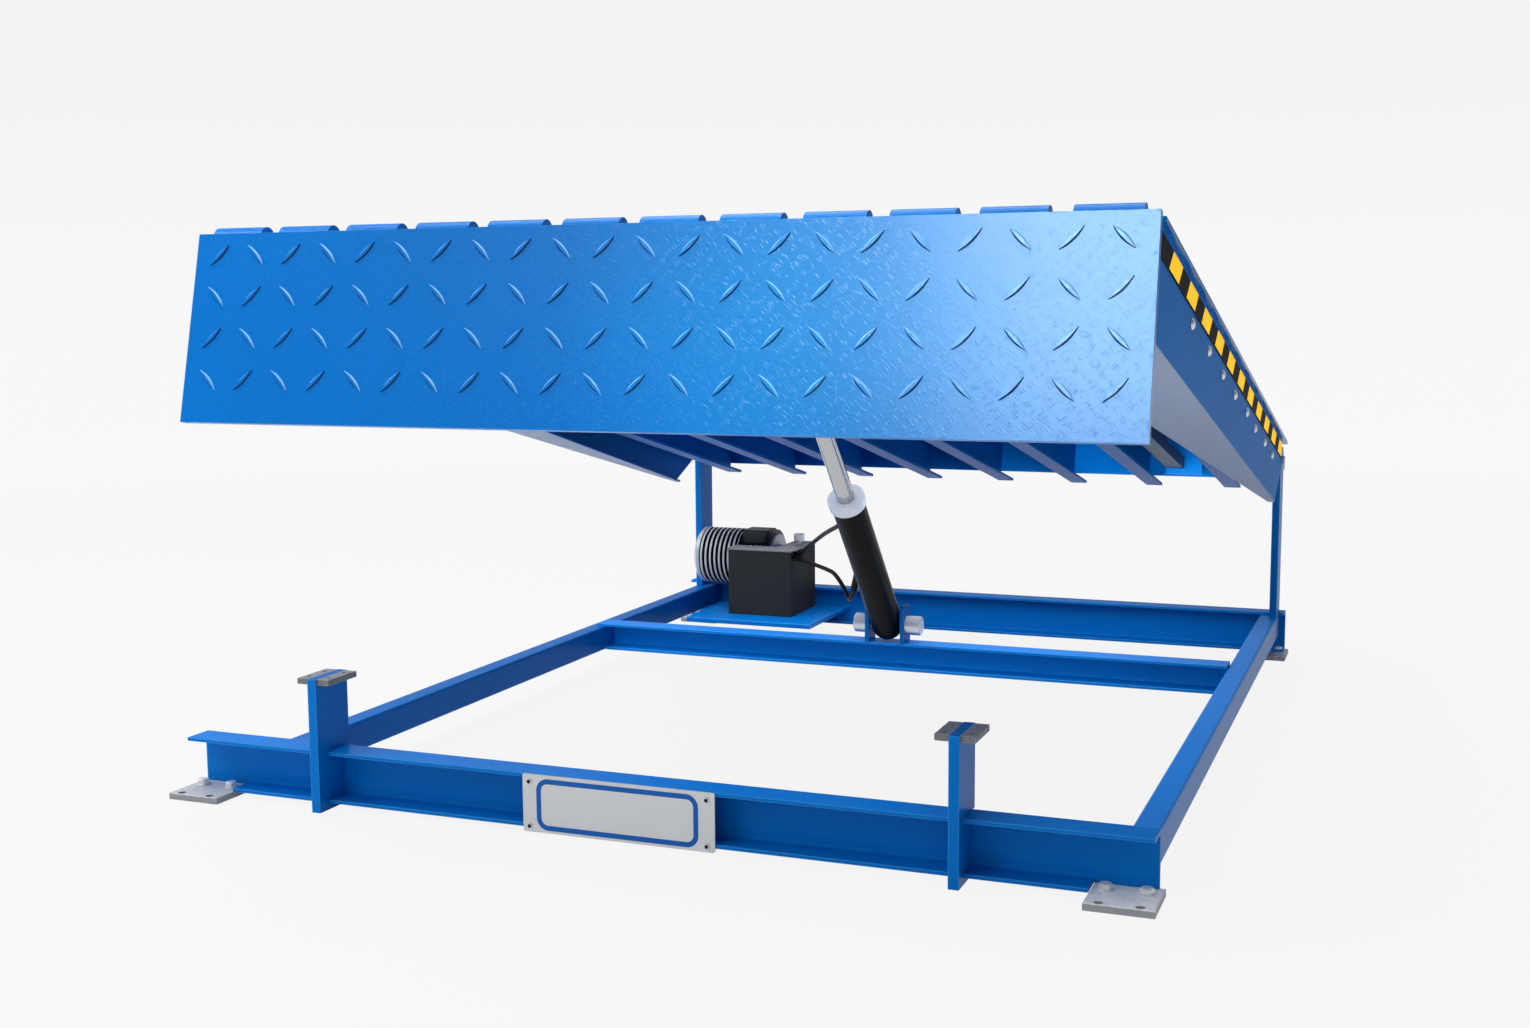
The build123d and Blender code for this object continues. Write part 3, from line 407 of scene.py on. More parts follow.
def warning_film(settings, colors):
    """Calendered vinyl warning film: flat colours, a faint bead texture, black lower edge."""
    material, tree, surface, place = new_material("warning_film")
    back = add(tree, "ShaderNodeVectorMath", (place, DECK_BACKWARDS), operation="DOT_PRODUCT")
    up = add(tree, "ShaderNodeVectorMath", (place, DECK_UP), operation="DOT_PRODUCT")
    # The first yellow block starts 2475 mm ahead of the hinge, at the strip's upper edge
    first_yellow, strip_top, strip_bottom, black_edge, yellow_share = -2.475, 0.053, 0.006, 0.004, 0.53
    leaned = add(tree, "ShaderNodeMath", (up, settings.stripe_lean), operation="MULTIPLY")
    place_along = add(tree, "ShaderNodeMath", (back, leaned), operation="SUBTRACT")
    start = HINGE.dot(DECK_BACKWARDS) + first_yellow - settings.stripe_lean * (HINGE.dot(DECK_UP) + strip_top)
    counted = add(tree, "ShaderNodeMath", (place_along, start), operation="SUBTRACT")
    blocks = add(tree, "ShaderNodeMath", (counted, settings.stripe_pitch), operation="DIVIDE")
    share = add(tree, "ShaderNodeMath", [blocks], operation="FRACT")
    yellow = add(tree, "ShaderNodeMath", (share, yellow_share), operation="LESS_THAN")
    started = add(tree, "ShaderNodeMath", (blocks, 0.0), operation="GREATER_THAN")
    edge = HINGE.dot(DECK_UP) + strip_bottom + black_edge
    above = add(tree, "ShaderNodeMath", (up, edge), operation="GREATER_THAN")
    both = add(tree, "ShaderNodeMath", (yellow, started), operation="MULTIPLY")
    shown = add(tree, "ShaderNodeMath", (both, above), operation="MULTIPLY")
    color = coated(tree, rgba(colors.film_black), colors.film_yellow, shown, 0.0, 1.0, 1.0)
    beads = add(tree, "ShaderNodeTexVoronoi", {"Vector": place, "Scale": 400.0})
    film = add(tree, "ShaderNodeBump", {"Strength": 0.06, "Distance": 0.0001, "Height": beads})
    # Painted light: the film glows a little of its own, to keep its yellow bright
    fill(tree, surface, {"Base Color": color, "Roughness": 0.55, "IOR": 1.06, "Normal": film,
                         "Emission Color": color, "Emission Strength": 0.62})
    return material


def dress(material, *names):
    """Give CAD nodes a finish through their material slots."""
    for name in names:
        for holder in NODES[name].material_slots:
            holder.material = material


def put(name, data):
    """A new object in the scene."""
    thing = bpy.data.objects.new(name, data)
    bpy.context.scene.collection.objects.link(thing)
    return thing


def evaluated_mesh(thing):
    """A plain mesh of an object as its curve or modifiers make it."""
    evaluated = thing.evaluated_get(bpy.context.evaluated_depsgraph_get())
    return bpy.data.meshes.new_from_object(evaluated)


def new_piece(name, mesh, body, material=None, crease=35):
    """Put a finished mesh in the scene, shade it, and let it move with a body."""
    if material:
        mesh.materials.append(material)
    mesh.shade_smooth()
    mesh.set_sharp_from_angle(angle=radians(crease))
    piece = put(name, mesh)
    if body:
        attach(piece, body)
    return piece


def bridge(build, rings, capped=True):
    """Faces between rings of corners, one of which may be a single point, and over the open ends."""
    for lower, upper in zip(rings, rings[1:]):
        steps = max(len(lower), len(upper))
        for step in range(steps):
            after = (step + 1) % steps
            corners = dict.fromkeys((lower[step % len(lower)], lower[after % len(lower)],
                                     upper[after % len(upper)], upper[step % len(upper)]))
            if len(corners) > 2:
                build.faces.new(list(corners))
    if capped and len(rings[0]) > 1:
        build.faces.new(list(reversed(rings[0])))
    if capped and len(rings[-1]) > 1:
        build.faces.new(rings[-1])


def built_mesh(name, build):
    """The mesh of what is built, with its faces outwards."""
    bmesh.ops.recalc_face_normals(build, faces=build.faces)
    mesh = bpy.data.meshes.new(name)
    build.to_mesh(mesh)
    build.free()
    return mesh


def turned_mesh(name, profile, steps=24):
    """A mesh turned about Z from (radius, height) points, closed where the radius is zero."""
    build = bmesh.new()
    turns = [2 * pi * step / steps for step in range(steps)]
    rings = [[build.verts.new((radius * cos(turn), radius * sin(turn), height))
              for turn in (turns if radius else turns[:1])] for radius, height in profile]
    bridge(build, rings)
    return built_mesh(name, build)


def swept_mesh(name, line, radii, sides=16):
    """A tube along a line of points, with its own radius at each point and closed ends."""
    build = bmesh.new()
    turns = [2 * pi * side / sides for side in range(sides)]
    rings = []
    across = (line[1] - line[0]).normalized().orthogonal().normalized()
    for number, point in enumerate(line):
        ahead = line[min(number + 1, len(line) - 1)] - line[max(number - 1, 0)]
        ahead.normalize()
        across = (across - ahead * across.dot(ahead)).normalized()
        other = ahead.cross(across)
        rings.append([build.verts.new(point + (across * cos(turn) + other * sin(turn)) * radii[number])
                      for turn in turns])
    bridge(build, rings)
    return built_mesh(name, build)


def node_tree(name, sockets):
    """A Geometry Nodes tree with a geometry output and named inputs."""
    tree = bpy.data.node_groups.new(name, "GeometryNodeTree")
    tree.interface.new_socket(name="Geometry", in_out="OUTPUT", socket_type="NodeSocketGeometry")
    for label, kind in sockets.items():
        tree.interface.new_socket(name=label, in_out="INPUT", socket_type=f"NodeSocket{kind}")
    entry = tree.nodes.new("NodeGroupInput")
    return tree, entry.outputs


def end_tree(tree, geometry, finish):
    """Realize the instances, set their finish and hand them out."""
    solid = add(tree, "GeometryNodeRealizeInstances", {"Geometry": geometry})
    finished = add(tree, "GeometryNodeSetMaterial", {"Geometry": solid, "Material": finish})
    add(tree, "NodeGroupOutput", {"Geometry": finished})
    return tree


def grown_mesh(name, tree, values, host_mesh=None):
    """The plain mesh that a tree makes from these input values."""
    host = put(name, host_mesh or bpy.data.meshes.new(name + "_host"))
    modifier = host.modifiers.new("Grow", "NODES")
    modifier.node_group = tree
    for item in tree.interface.items_tree:
        if item.in_out == "INPUT" and item.name in values:
            modifier[item.identifier] = values[item.name]
    mesh = evaluated_mesh(host)
    host.modifiers.remove(modifier)
    bpy.data.objects.remove(host)
    mesh.name = name
    return mesh


def tread_tree():
    """Leaf-shaped marks with flat crowns in rows, leaning left and right by turns."""
    tree, given = node_tree("Tread marks", {
        "Columns": "Int", "Rows": "Int", "Pitch Across": "Float", "Pitch Along": "Float",
        "Mark Length": "Float", "Mark Width": "Float", "Mark Height": "Float",
        "Place": "Vector", "Turn": "Vector", "Finish": "Material"})
    spot = add(tree, "ShaderNodeSeparateXYZ", [add(tree, "GeometryNodeInputPosition")])
    known = dict(given.items() + spot.outputs.items(), Index=add(tree, "GeometryNodeInputIndex"))
    # Sums by name, each from numbers, inputs and the sums above it. The grid first, then one mark: a drum that
    # is drawn out to a leaf, its crown shorter and narrower, and its foot sunk 0.3 mm into the plate
    for name, operation, *parts in (
            ("gaps across", "SUBTRACT", "Columns", 1), ("across", "MULTIPLY", "gaps across", "Pitch Across"),
            ("gaps along", "SUBTRACT", "Rows", 1), ("along", "MULTIPLY", "gaps along", "Pitch Along"),
            ("columns passed", "DIVIDE", "Index", "Rows"), ("column", "FLOOR", "columns passed"),
            ("row", "MODULO", "Index", "Rows"), ("steps", "ADD", "column", "row"), ("odd", "MODULO", "steps", 2),
            ("side", "SUBTRACT", "odd", 0.5), ("lean", "MULTIPLY", "side", pi / 2),
            ("crown", "GREATER_THAN", "Z", 0),
            ("shortening", "MULTIPLY", "crown", 0.08), ("long share", "SUBTRACT", 1, "shortening"),
            ("length", "MULTIPLY", "long share", "Mark Length"),
            ("narrowing", "MULTIPLY", "crown", 0.52), ("wide share", "SUBTRACT", 1, "narrowing"),
            ("width", "MULTIPLY", "wide share", "Mark Width"),
            ("off middle", "ABSOLUTE", "Y"), ("leaf", "MULTIPLY", "Y", "off middle"),
            ("half x", "MULTIPLY", "X", 0.5), ("mark x", "MULTIPLY", "half x", "length"),
            ("half y", "MULTIPLY", "leaf", 0.5), ("mark y", "MULTIPLY", "half y", "width"),
            ("depth", "ADD", "Mark Height", 0.0003), ("raised", "MULTIPLY", "crown", "depth"),
            ("mark z", "SUBTRACT", "raised", 0.0003)):
        known[name] = add(tree, "ShaderNodeMath", [known.get(part, part) for part in parts], operation=operation)
    grid = add(tree, "GeometryNodeMeshGrid", {"Size X": known["across"], "Size Y": known["along"],
                                              "Vertices X": given["Columns"], "Vertices Y": given["Rows"]})
    turn = add(tree, "ShaderNodeCombineXYZ", {"Z": known["lean"]})
    drum = add(tree, "GeometryNodeMeshCylinder", {"Vertices": 16, "Radius": 1.0, "Depth": 1.0})
    shaped = add(tree, "ShaderNodeCombineXYZ", (known["mark x"], known["mark y"], known["mark z"]))
    mark = add(tree, "GeometryNodeSetPosition", {"Geometry": drum, "Position": shaped})
    marks = add(tree, "GeometryNodeInstanceOnPoints", {"Points": grid, "Instance": mark, "Rotation": turn})
    laid = add(tree, "GeometryNodeTransform", {"Geometry": marks, "Translation": given["Place"],
                                               "Rotation": given["Turn"]})
    return end_tree(tree, laid, given["Finish"])


def fastener_tree():
    """One head at each point of a mesh, all turned the same way."""
    tree, given = node_tree("Fasteners", {"Points": "Geometry", "Head": "Object", "Turn": "Vector",
                                          "Finish": "Material"})
    head = add(tree, "GeometryNodeObjectInfo", {"Object": given["Head"]})
    points = add(tree, "GeometryNodeMeshToPoints", {"Mesh": given["Points"]})
    heads = add(tree, "GeometryNodeInstanceOnPoints", {"Points": points, "Instance": head.outputs["Geometry"],
                                                       "Rotation": given["Turn"]})
    return end_tree(tree, heads, given["Finish"])


def fasteners(name, head_mesh, places, turn, material, body):
    """Heads of one kind at these places, as one piece that moves with a body."""
    head = put(name + "_head", head_mesh)
    spots = bpy.data.meshes.new(name + "_spots")
    spots.from_pydata([tuple(place) for place in places], [], [])
    mesh = grown_mesh(name, fastener_tree(), {"Head": head, "Turn": turn, "Finish": material}, spots)
    bpy.data.objects.remove(head)
    return new_piece(name, mesh, body)


def hex_head(settings):
    """Hexagon bolt head with a chamfered crown, on its washer."""
    washer, washer_top = settings.washer_radius, 0.003
    flat = settings.bolt_across / 2
    corner = flat / cos(pi / 6)
    top = settings.bolt_height + washer_top
    mesh = turned_mesh("washer", [(washer, 0), (washer, washer_top - 0.0006), (washer - 0.0006, washer_top),
                                  (flat * 0.9, washer_top)])
    build = bmesh.new()
    build.from_mesh(mesh)
    bpy.data.meshes.remove(mesh)
    outline = [corner, flat] * 6
    levels = [
        [(radius, washer_top) for radius in outline],
        [(radius, top - (0.0026 if radius == corner else 0.0008)) for radius in outline],
        [(flat * 0.93, top)] * 12,
    ]
    bridge(build, [[build.verts.new((radius * cos(step * pi / 6), radius * sin(step * pi / 6), height))
                    for step, (radius, height) in enumerate(level)] for level in levels])
    return built_mesh("hex_head", build)


class LEVELER_OT_stage(bpy.types.Operator):
    """Set up the camera, the pale floor, the studio lamps and the world"""
    bl_idname = "leveler.stage"
    bl_label = "Stage"

    def execute(self, context):
        scene = context.scene
        settings = scene.leveler.stage
        scene.view_settings.view_transform = "Standard"
        self.camera(scene, settings)
        self.floor(settings)
        self.world(scene)
        self.lamps(settings)
        return {"FINISHED"}

    def camera(self, scene, settings):
        """The camera, from its place, its yaw, pitch and roll and its lens."""
        yaw, pitch, roll = settings.camera_yaw, settings.camera_pitch, settings.camera_roll
        forward = Vector((-sin(yaw) * cos(pitch), cos(yaw) * cos(pitch), sin(pitch)))
        level = Vector((cos(yaw), sin(yaw), 0))
        upright = level.cross(forward)
        right = level * cos(roll) + upright * sin(roll)
        up = upright * cos(roll) - level * sin(roll)
        lens = bpy.data.cameras.new("camera")
        lens.lens = settings.camera_lens
        lens.sensor_width = 36
        lens.clip_end = 200
        camera = put("camera", lens)
        turn = Matrix((right, up, -forward)).transposed().to_4x4()
        camera.matrix_world = Matrix.Translation(settings.camera_place) @ turn
        scene.camera = camera

    def lamps(self, settings):
        """Three softboxes for the whole leveler, three lamps for the lip, and panels for single pieces."""
        aim = (0.1, -0.2, 0.6)
        self.lamp("front_softbox", (-1.6, -4.4, 3.4), aim, 1.8, 1.4, settings.front_light, visible_glossy=False)
        self.lamp("top_softbox", (-0.6, 0.0, 5.5), aim, 5.0, 5.0, settings.top_light)
        self.lamp("left_softbox", (-4.2, -2.6, 4.4), aim, 2.0, 2.0, settings.left_light)
        hidden = {"visible_glossy": False, "visible_camera": False}
        # A panel that only shows as the pale sheen on the right of the lip
        self.lamp("sheen_panel", (0.8, -4.9, 3.05), (0.8, -1.3, 1.1), 2.3, 1.8, settings.sheen_light, ["lip"],
                  color=(0.62, 0.91, 1.0), visible_diffuse=False)
        # A gridded lamp whose narrow beam fades the sheen out over the middle of the lip
        self.lamp("lip_lamp", (0.45, -3.9, 1.5), (0.45, -1.3, 1.13), 0.2, 0.5, settings.lip_light, ["lip"],
                  color=(0.5, 1.0, 0.56), spread=radians(22), **hidden)
        # A higher panel that only shows in the flanks of the lip's marks and in the knuckles
        self.lamp("glint_panel", (-0.1, -4.9, 4.7), (-0.1, -1.3, 1.1), 2.0, 1.3, settings.glint_light, ["lip"],
                  visible_diffuse=False)
        # Hidden panels that brighten what the deck would leave in the dark, each for its own pieces
        under, rail, foot = on_deck(0, -1.3, -0.2), from_datum(-0.1, -0.03, 0), from_datum(0.95, -0.07, 0)
        for name, place, aim, width, height, power, *nodes in (
                ("deck_panel", under, under - DECK_UP, 1.8, 2.3, settings.deck_light, "pump_tray", "oil_tank",
                 "tank_lid", "terminal_box", "gland", "cylinder_pin", "breather_cap"),
                ("beam_panel", under, under - DECK_UP, 1.8, 2.3, settings.beam_light, "mid_beam", "rear_beam",
                 "right_side_member", "front_right_foot"),
                ("web_panel", (0.1, -0.9, 0.35), (0.1, 1.0, 0.1), 1.8, 0.3, settings.web_light, "mid_beam",
                 "cylinder_lugs"),
                ("rail_panel", rail + Vector((0, 0, 0.75)), rail, 2.1, 0.1, settings.rail_light, "front_beam"),
                ("foot_panel", foot + Vector((0.2, -0.5, 0.9)), foot, 0.4, 0.4, settings.foot_light,
                 "front_right_foot"),
                ("header_panel", on_deck(0.7, -0.8, -0.2), on_deck(0.9, 0, -0.08), 0.6, 0.16,
                 settings.header_light, "rear_header", "prop_plate")):
            self.lamp(name, place, aim, width, height, power, nodes, **hidden)

    def lamp(self, name, place, aim, width, height, power, nodes=(), color=WHITE[:3], spread=pi, **seen):
        """One rectangular lamp that faces a point, and lights the whole leveler or these nodes alone."""
        light = bpy.data.lights.new(name, "AREA")
        light.shape = "RECTANGLE"
        light.size, light.size_y = width, height
        light.energy, light.color, light.spread = power, color, spread
        lamp = put(name, light)
        lamp.location = place
        lamp.rotation_euler = (Vector(aim) - Vector(place)).to_track_quat("-Z", "Y").to_euler()
        for way, value in seen.items():
            setattr(lamp, way, value)
        if nodes:
            lit = bpy.data.collections.new(name + "_pieces")
            for node in nodes:
                lit.objects.link(NODES[node])
            lamp.light_linking.receiver_collection = lit

    def floor(self, settings):
        """A wide disc of pale studio floor that keeps a faint shadow."""
        build = bmesh.new()
        bmesh.ops.create_circle(build, cap_ends=True, segments=256, radius=settings.floor_radius)
        foot = Vector((settings.camera_place[0], settings.camera_place[1], 0))
        bmesh.ops.translate(build, verts=build.verts, vec=foot)
        mesh = bpy.data.meshes.new("floor")
        build.to_mesh(mesh)
        build.free()
        material, tree, surface, place = new_material("studio_floor")
        tree.nodes.remove(surface)
        paint = add(tree, "ShaderNodeBsdfDiffuse", {"Color": rgba(linear("F2F2F2"))})
        # Away from the lamps the floor gets a little more glow, so that it stays even
        reach = add(tree, "ShaderNodeVectorMath", [place], operation="LENGTH")
        glow = add(tree, "ShaderNodeMapRange", (reach, 2.5, 9.0, 0.935, 0.975))
        seen = add(tree, "ShaderNodeEmission", {"Strength": glow})
        rays = add(tree, "ShaderNodeLightPath")
        mirrored = add(tree, "ShaderNodeMath", (rays.outputs["Is Camera Ray"], rays.outputs["Is Glossy Ray"]),
                       operation="MAXIMUM")
        direct = add(tree, "ShaderNodeMath", (mirrored, rays.outputs["Is Transmission Ray"]), operation="MAXIMUM")
        share = add(tree, "ShaderNodeMath", (direct, 0.945), operation="MULTIPLY")
        mixed = add(tree, "ShaderNodeMixShader", (share, paint, seen))
        out = next(node for node in tree.nodes if node.type == "OUTPUT_MATERIAL")
        fill(tree, out, {"Surface": mixed})
        mesh.materials.append(material)
        floor = put("floor", mesh)

    def world(self, scene):
        """Soft fill all round, and a pale backdrop for the camera and for reflections."""
        world = bpy.data.worlds.new("studio")
        scene.world = world
        world.use_nodes = True
        tree = world.node_tree
        tree.nodes.clear()
        rays = add(tree, "ShaderNodeLightPath")
        direction = add(tree, "ShaderNodeTexCoord").outputs["Generated"]
        height = add(tree, "ShaderNodeSeparateXYZ", [direction]).outputs["Z"]
        # The walls are brighter than the ceiling, which lights what is under the deck. The right one is dim
        walls = add(tree, "ShaderNodeMapRange", (height, 0.1, 0.7, 0.85, 0.3))
        side = add(tree, "ShaderNodeVectorMath", (direction, (0.95, 0.3, 0)), operation="DOT_PRODUCT")
        shade = add(tree, "ShaderNodeMapRange", (side, 0.1, 0.8, 1.0, 0.35))
        lit_walls = add(tree, "ShaderNodeMath", (walls, shade), operation="MULTIPLY")
        fill_light = add(tree, "ShaderNodeBackground", (WHITE, lit_walls))
        # The backdrop meets the floor in its own tone and falls off a little upward
        fade = add(tree, "ShaderNodeMapRange", (height, 0.0, 0.12, 0.935, 0.896))
        backdrop = add(tree, "ShaderNodeBackground", (WHITE, fade))
        # In reflections the room is pale behind and beside the object and dim in front of it
        front = add(tree, "ShaderNodeVectorMath", (direction, (0, -1, 0.35)), operation="DOT_PRODUCT")
        dim = add(tree, "ShaderNodeMapRange", (front, -0.2, 0.5, 0.5, 0.04))
        mirrored = add(tree, "ShaderNodeMath", (dim, shade), operation="MULTIPLY")
        room = add(tree, "ShaderNodeBackground", (WHITE, mirrored))
        lit = add(tree, "ShaderNodeMixShader", (rays.outputs["Is Glossy Ray"], fill_light, room))
        direct = add(tree, "ShaderNodeMath", (rays.outputs["Is Camera Ray"], rays.outputs["Is Transmission Ray"]),
                     operation="MAXIMUM")
        shown = add(tree, "ShaderNodeMixShader", (direct, lit, backdrop))
        add(tree, "ShaderNodeOutputWorld", {"Surface": shown})


class LEVELER_OT_hoses(bpy.types.Operator):
    """Lay the two hydraulic hoses from the tank to the cylinder, with their crimped ends"""
    bl_idname = "leveler.hoses"
    bl_label = "Hoses"

    upper_route = [
        (-0.53653, 2.16786, 0.29278), (-0.424, 1.950, 0.354), (-0.293, 1.680, 0.420), (-0.186, 1.450, 0.471),
        (-0.09196, 1.32396, 0.51533),
    ]
    lower_route = [
        (-0.53338, 2.14482, 0.27770), (-0.301, 1.800, 0.303), (-0.236, 1.680, 0.303), (-0.170, 1.565, 0.283),
        (-0.118, 1.465, 0.258), (-0.09580, 1.43859, 0.33201),
    ]

    ribs, rib_pitch = 7, 0.0045

    def execute(self, context):
        settings = context.scene.leveler.fittings
        colors = context.scene.leveler.colors
        rubber = hose_rubber(colors)
        oxide = turned_steel(colors, "black_oxide_steel", linear("141517"), 0.4)
        for name, route in (("upper", self.upper_route), ("lower", self.lower_route)):
            line = self.smooth_line(name, route)
            mesh = swept_mesh(f"{name}_hose_tube", line, [settings.hose_radius] * len(line))
            tube = new_piece(f"{name}_hose_tube", mesh, None, rubber, 60)
            # Each end stays straight inside its crimped collar
            tank_end, barrel_end = from_datum(*route[0]), from_datum(*route[-1])
            from_tank = (from_datum(*route[1]) - tank_end).normalized()
            from_barrel = (from_datum(*route[-2]) - barrel_end).normalized()
            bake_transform(tube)
            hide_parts(f"{name}_hose")
            self.ferrule(f"{name}_tank_ferrule", tank_end, from_tank, settings, oxide, "root")
            self.ferrule(f"{name}_barrel_ferrule", barrel_end, from_barrel, settings, oxide, "barrel")
        dress(oxide, "tank_fittings", "barrel_ports")
        return {"FINISHED"}

    def smooth_line(self, name, route):
        """Points of the hose's middle line, read from its NURBS curve."""
        curve = bpy.data.curves.new(name + "_route", "CURVE")
        curve.dimensions = "3D"
        curve.resolution_u = 10
        spline = curve.splines.new("NURBS")
        spline.points.add(len(route) - 1)
        for point, place in zip(spline.points, route):
            point.co = (*from_datum(*place), 1)
        spline.order_u = 3
        spline.use_endpoint_u = True
        holder = put(name + "_route", curve)
        line = [vertex.co.copy() for vertex in evaluated_mesh(holder).vertices]
        bpy.data.objects.remove(holder)
        return line

    def ferrule(self, name, start, away, settings, material, body):
        """Crimped collar with ribs over one end of a hose."""
        places, radii = [], []
        for number in range(self.ribs):
            for offset, share in ((0.0, 0.9), (0.0008, 1.0), (0.0030, 1.0), (0.0038, 0.9)):
                places.append(start + away * (number * self.rib_pitch + offset))
                radii.append(settings.ferrule_radius * share)
        mesh = swept_mesh(name, places, radii, 20)
        new_piece(name, mesh, body, material, 30)


class LEVELER_OT_frame(bpy.types.Operator):
    """Paint the welded base frame, its posts and lugs, and finish its plates and pins"""
    bl_idname = "leveler.frame"
    bl_label = "Base frame"

    def execute(self, context):
        colors = context.scene.leveler.colors
        enamel = blue_enamel(colors)
        dress(enamel, "front_beam", "left_side_member", "right_side_member", "mid_beam", "rear_beam",
              "left_rest_post", "right_rest_post", "left_rear_post", "right_rear_post", "cylinder_lugs",
              "pump_tray")
        dress(plated_steel(colors), "front_left_foot", "front_right_foot", "rear_left_foot", "rear_right_foot")
        dress(plated_steel(colors, "pad_steel", 0.6), "left_rest_pads", "right_rest_pads")
        dress(turned_steel(colors, metallic=0.6), "left_hinge_pin", "right_hinge_pin", "cylinder_pin")
        return {"FINISHED"}


class LEVELER_OT_foot_bolts(bpy.types.Operator):
    """Screw two hexagon bolts with washers through each foot plate"""
    bl_idname = "leveler.foot_bolts"
    bl_label = "Foot bolts"

    pitch = 0.078
    inset = 0.046  # from the plate's rear edge

    def execute(self, context):
        settings = context.scene.leveler.fittings
        zinc = turned_steel(context.scene.leveler.colors, "bright_zinc", linear("E8EBEE"), 0.3, 0.45)
        places = []
        for node in ("front_left_foot", "front_right_foot", "rear_left_foot", "rear_right_foot"):
            low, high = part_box(node)
            middle = (low.x + high.x) / 2
            for side in (-1, 1):
                places.append((middle + side * self.pitch / 2, high.y - self.inset, high.z))
        fasteners("foot_bolts", hex_head(settings), places, (0, 0, 0.2), zinc, "root")
        return {"FINISHED"}


class LEVELER_OT_nameplate(bpy.types.Operator):
    """Finish the bare name plate with its printed line and four socket screws"""
    bl_idname = "leveler.nameplate"
    bl_label = "Name plate"

    def execute(self, context):
        settings = context.scene.leveler.fittings
        colors = context.scene.leveler.colors
        dress(brushed_aluminium(colors), "nameplate")
        low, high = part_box("nameplate")
        ink = powder_coat("printed_ink", colors.border, 0.45, 0.004, 0.05)
        new_piece("nameplate_border", self.line(low, high), "root", ink)
        # The screws stand 16 to 18 mm from the plate's ends and 12.5 to 16.5 mm from its long edges
        places = [(x, low.y, z) for x in (low.x + 0.016, high.x - 0.018) for z in (low.z + 0.0125, high.z - 0.0165)]
        radius = settings.plate_screw_radius
        head = turned_mesh("cap_head", [(radius, 0), (radius, 0.0016), (radius * 0.88, 0.0028),
                                        (radius * 0.6, 0.0032), (radius * 0.55, 0.0032), (radius * 0.55, 0.001),
                                        (0, 0.001)])
        toward_front = (pi / 2, 0, 0)
        zinc = turned_steel(colors, "screw_zinc")
        fasteners("nameplate_screws", head, places, toward_front, zinc, "root")
        # Painted shadow: a black plug in each head stands for the shade in its hex socket
        socket = turned_mesh("socket", [(radius * 0.72, 0.001), (radius * 0.7, 0.0034), (0, 0.0034)], 6)
        dark = powder_coat("socket_shadow", linear("0B0C0D"), 0.6)
        fasteners("nameplate_screw_sockets", socket, places, toward_front, dark, "root")
        return {"FINISHED"}

    def line(self, low, high):
        """The printed line: a rounded rectangle with corners of 27 mm, 11 mm wide, 0.4 mm thick."""
        corner, width, thick = 0.027, 0.011, 0.0004
        left, right, bottom, top = low.x + 0.033, high.x - 0.037, low.z + 0.006, high.z - 0.008
        front, back = low.y - thick, low.y + thick / 2
        centers = ((right - corner, top - corner), (left + corner, top - corner),
                   (left + corner, bottom + corner), (right - corner, bottom + corner))
        build = bmesh.new()
        loops = []
        for inset, depth in ((0, back), (0, front), (width, front), (width, back)):
            loop = []
            for quarter, (x, z) in enumerate(centers):
                for step in range(9):
                    turn = (quarter + step / 8) * pi / 2
                    loop.append(build.verts.new((x + (corner - inset) * cos(turn), depth,
                                                 z + (corner - inset) * sin(turn))))
            loops.append(loop)
        bridge(build, loops + loops[:1], capped=False)
        return built_mesh("nameplate_border", build)


class LEVELER_OT_deck(bpy.types.Operator):
    """Paint the deck, its headers, joists and guards, and finish the lip's rod and the prop"""
    bl_idname = "leveler.deck"
    bl_label = "Deck"

    def execute(self, context):
        colors = context.scene.leveler.colors
        dress(bpy.data.materials["blue_enamel"], "front_header", "rear_header", "rod_clevis", "rod_gussets",
              "prop_plate")
        dress(blue_enamel(colors, "joist_enamel", floor_reflection=0.3, roughness=0.45, index=1.08),
              *[f"joist_{number}" for number in range(1, 9)])
        dress(blue_enamel(colors, "guard_enamel", floor_reflection=0.85, roughness=0.5, index=1.1), "left_guard", "right_guard")
        dress(blue_enamel(colors, "tread_enamel", True, edge=0.0009, roughness=0.24, index=1.22), "deck_plate", "lip")
        dress(turned_steel(colors, "drawn_rod", linear("E4E8EC"), 0.25), "lip_rod")
        dress(powder_coat("prop_paint", colors.prop, 0.5), "safety_prop")
        return {"FINISHED"}


class LEVELER_OT_tread(bpy.types.Operator):
    """Raise the leaf-shaped tread marks on the lip and the deck"""
    bl_idname = "leveler.tread"
    bl_label = "Tread marks"

    def execute(self, context):
        leveler = context.scene.leveler
        settings = leveler.tread
        tree = tread_tree()
        sizes = {
            "Columns": settings.columns, "Pitch Across": settings.pitch_across,
            "Pitch Along": settings.pitch_along, "Mark Length": settings.mark_length,
            "Mark Width": settings.mark_width, "Mark Height": settings.mark_height,
        }
        for body, rows, place, turn, down in (
                ("lip", settings.lip_rows, on_deck(0, -2.695, -0.109), pi / 2 - RISE, -DECK_UP),
                ("deck", settings.deck_rows, on_deck(0, -1.295, 0.075), -RISE, -DECK_BACKWARDS)):
            # Painted shade on the flanks of the marks that look down or to the right, painted highlight on those that
            # look up or to the left
            enamel = blue_enamel(leveler.colors, f"{body}_mark_enamel", True, edge=0.0008, roughness=0.22,
                                 index=1.25, shaded_side=Vector((0.1, 0, 0)) + down * 0.99)
            values = dict(sizes, Rows=rows, Place=place, Turn=(turn, 0, 0), Finish=enamel)
            name = f"{body}_tread"
            new_piece(name, grown_mesh(name, tree, values), body, crease=20)
        # The lamps for the lip also light its marks
        for lamp in ("sheen_panel", "glint_panel", "lip_lamp"):
            bpy.data.collections[f"{lamp}_pieces"].objects.link(bpy.data.objects["lip_tread"])
        return {"FINISHED"}


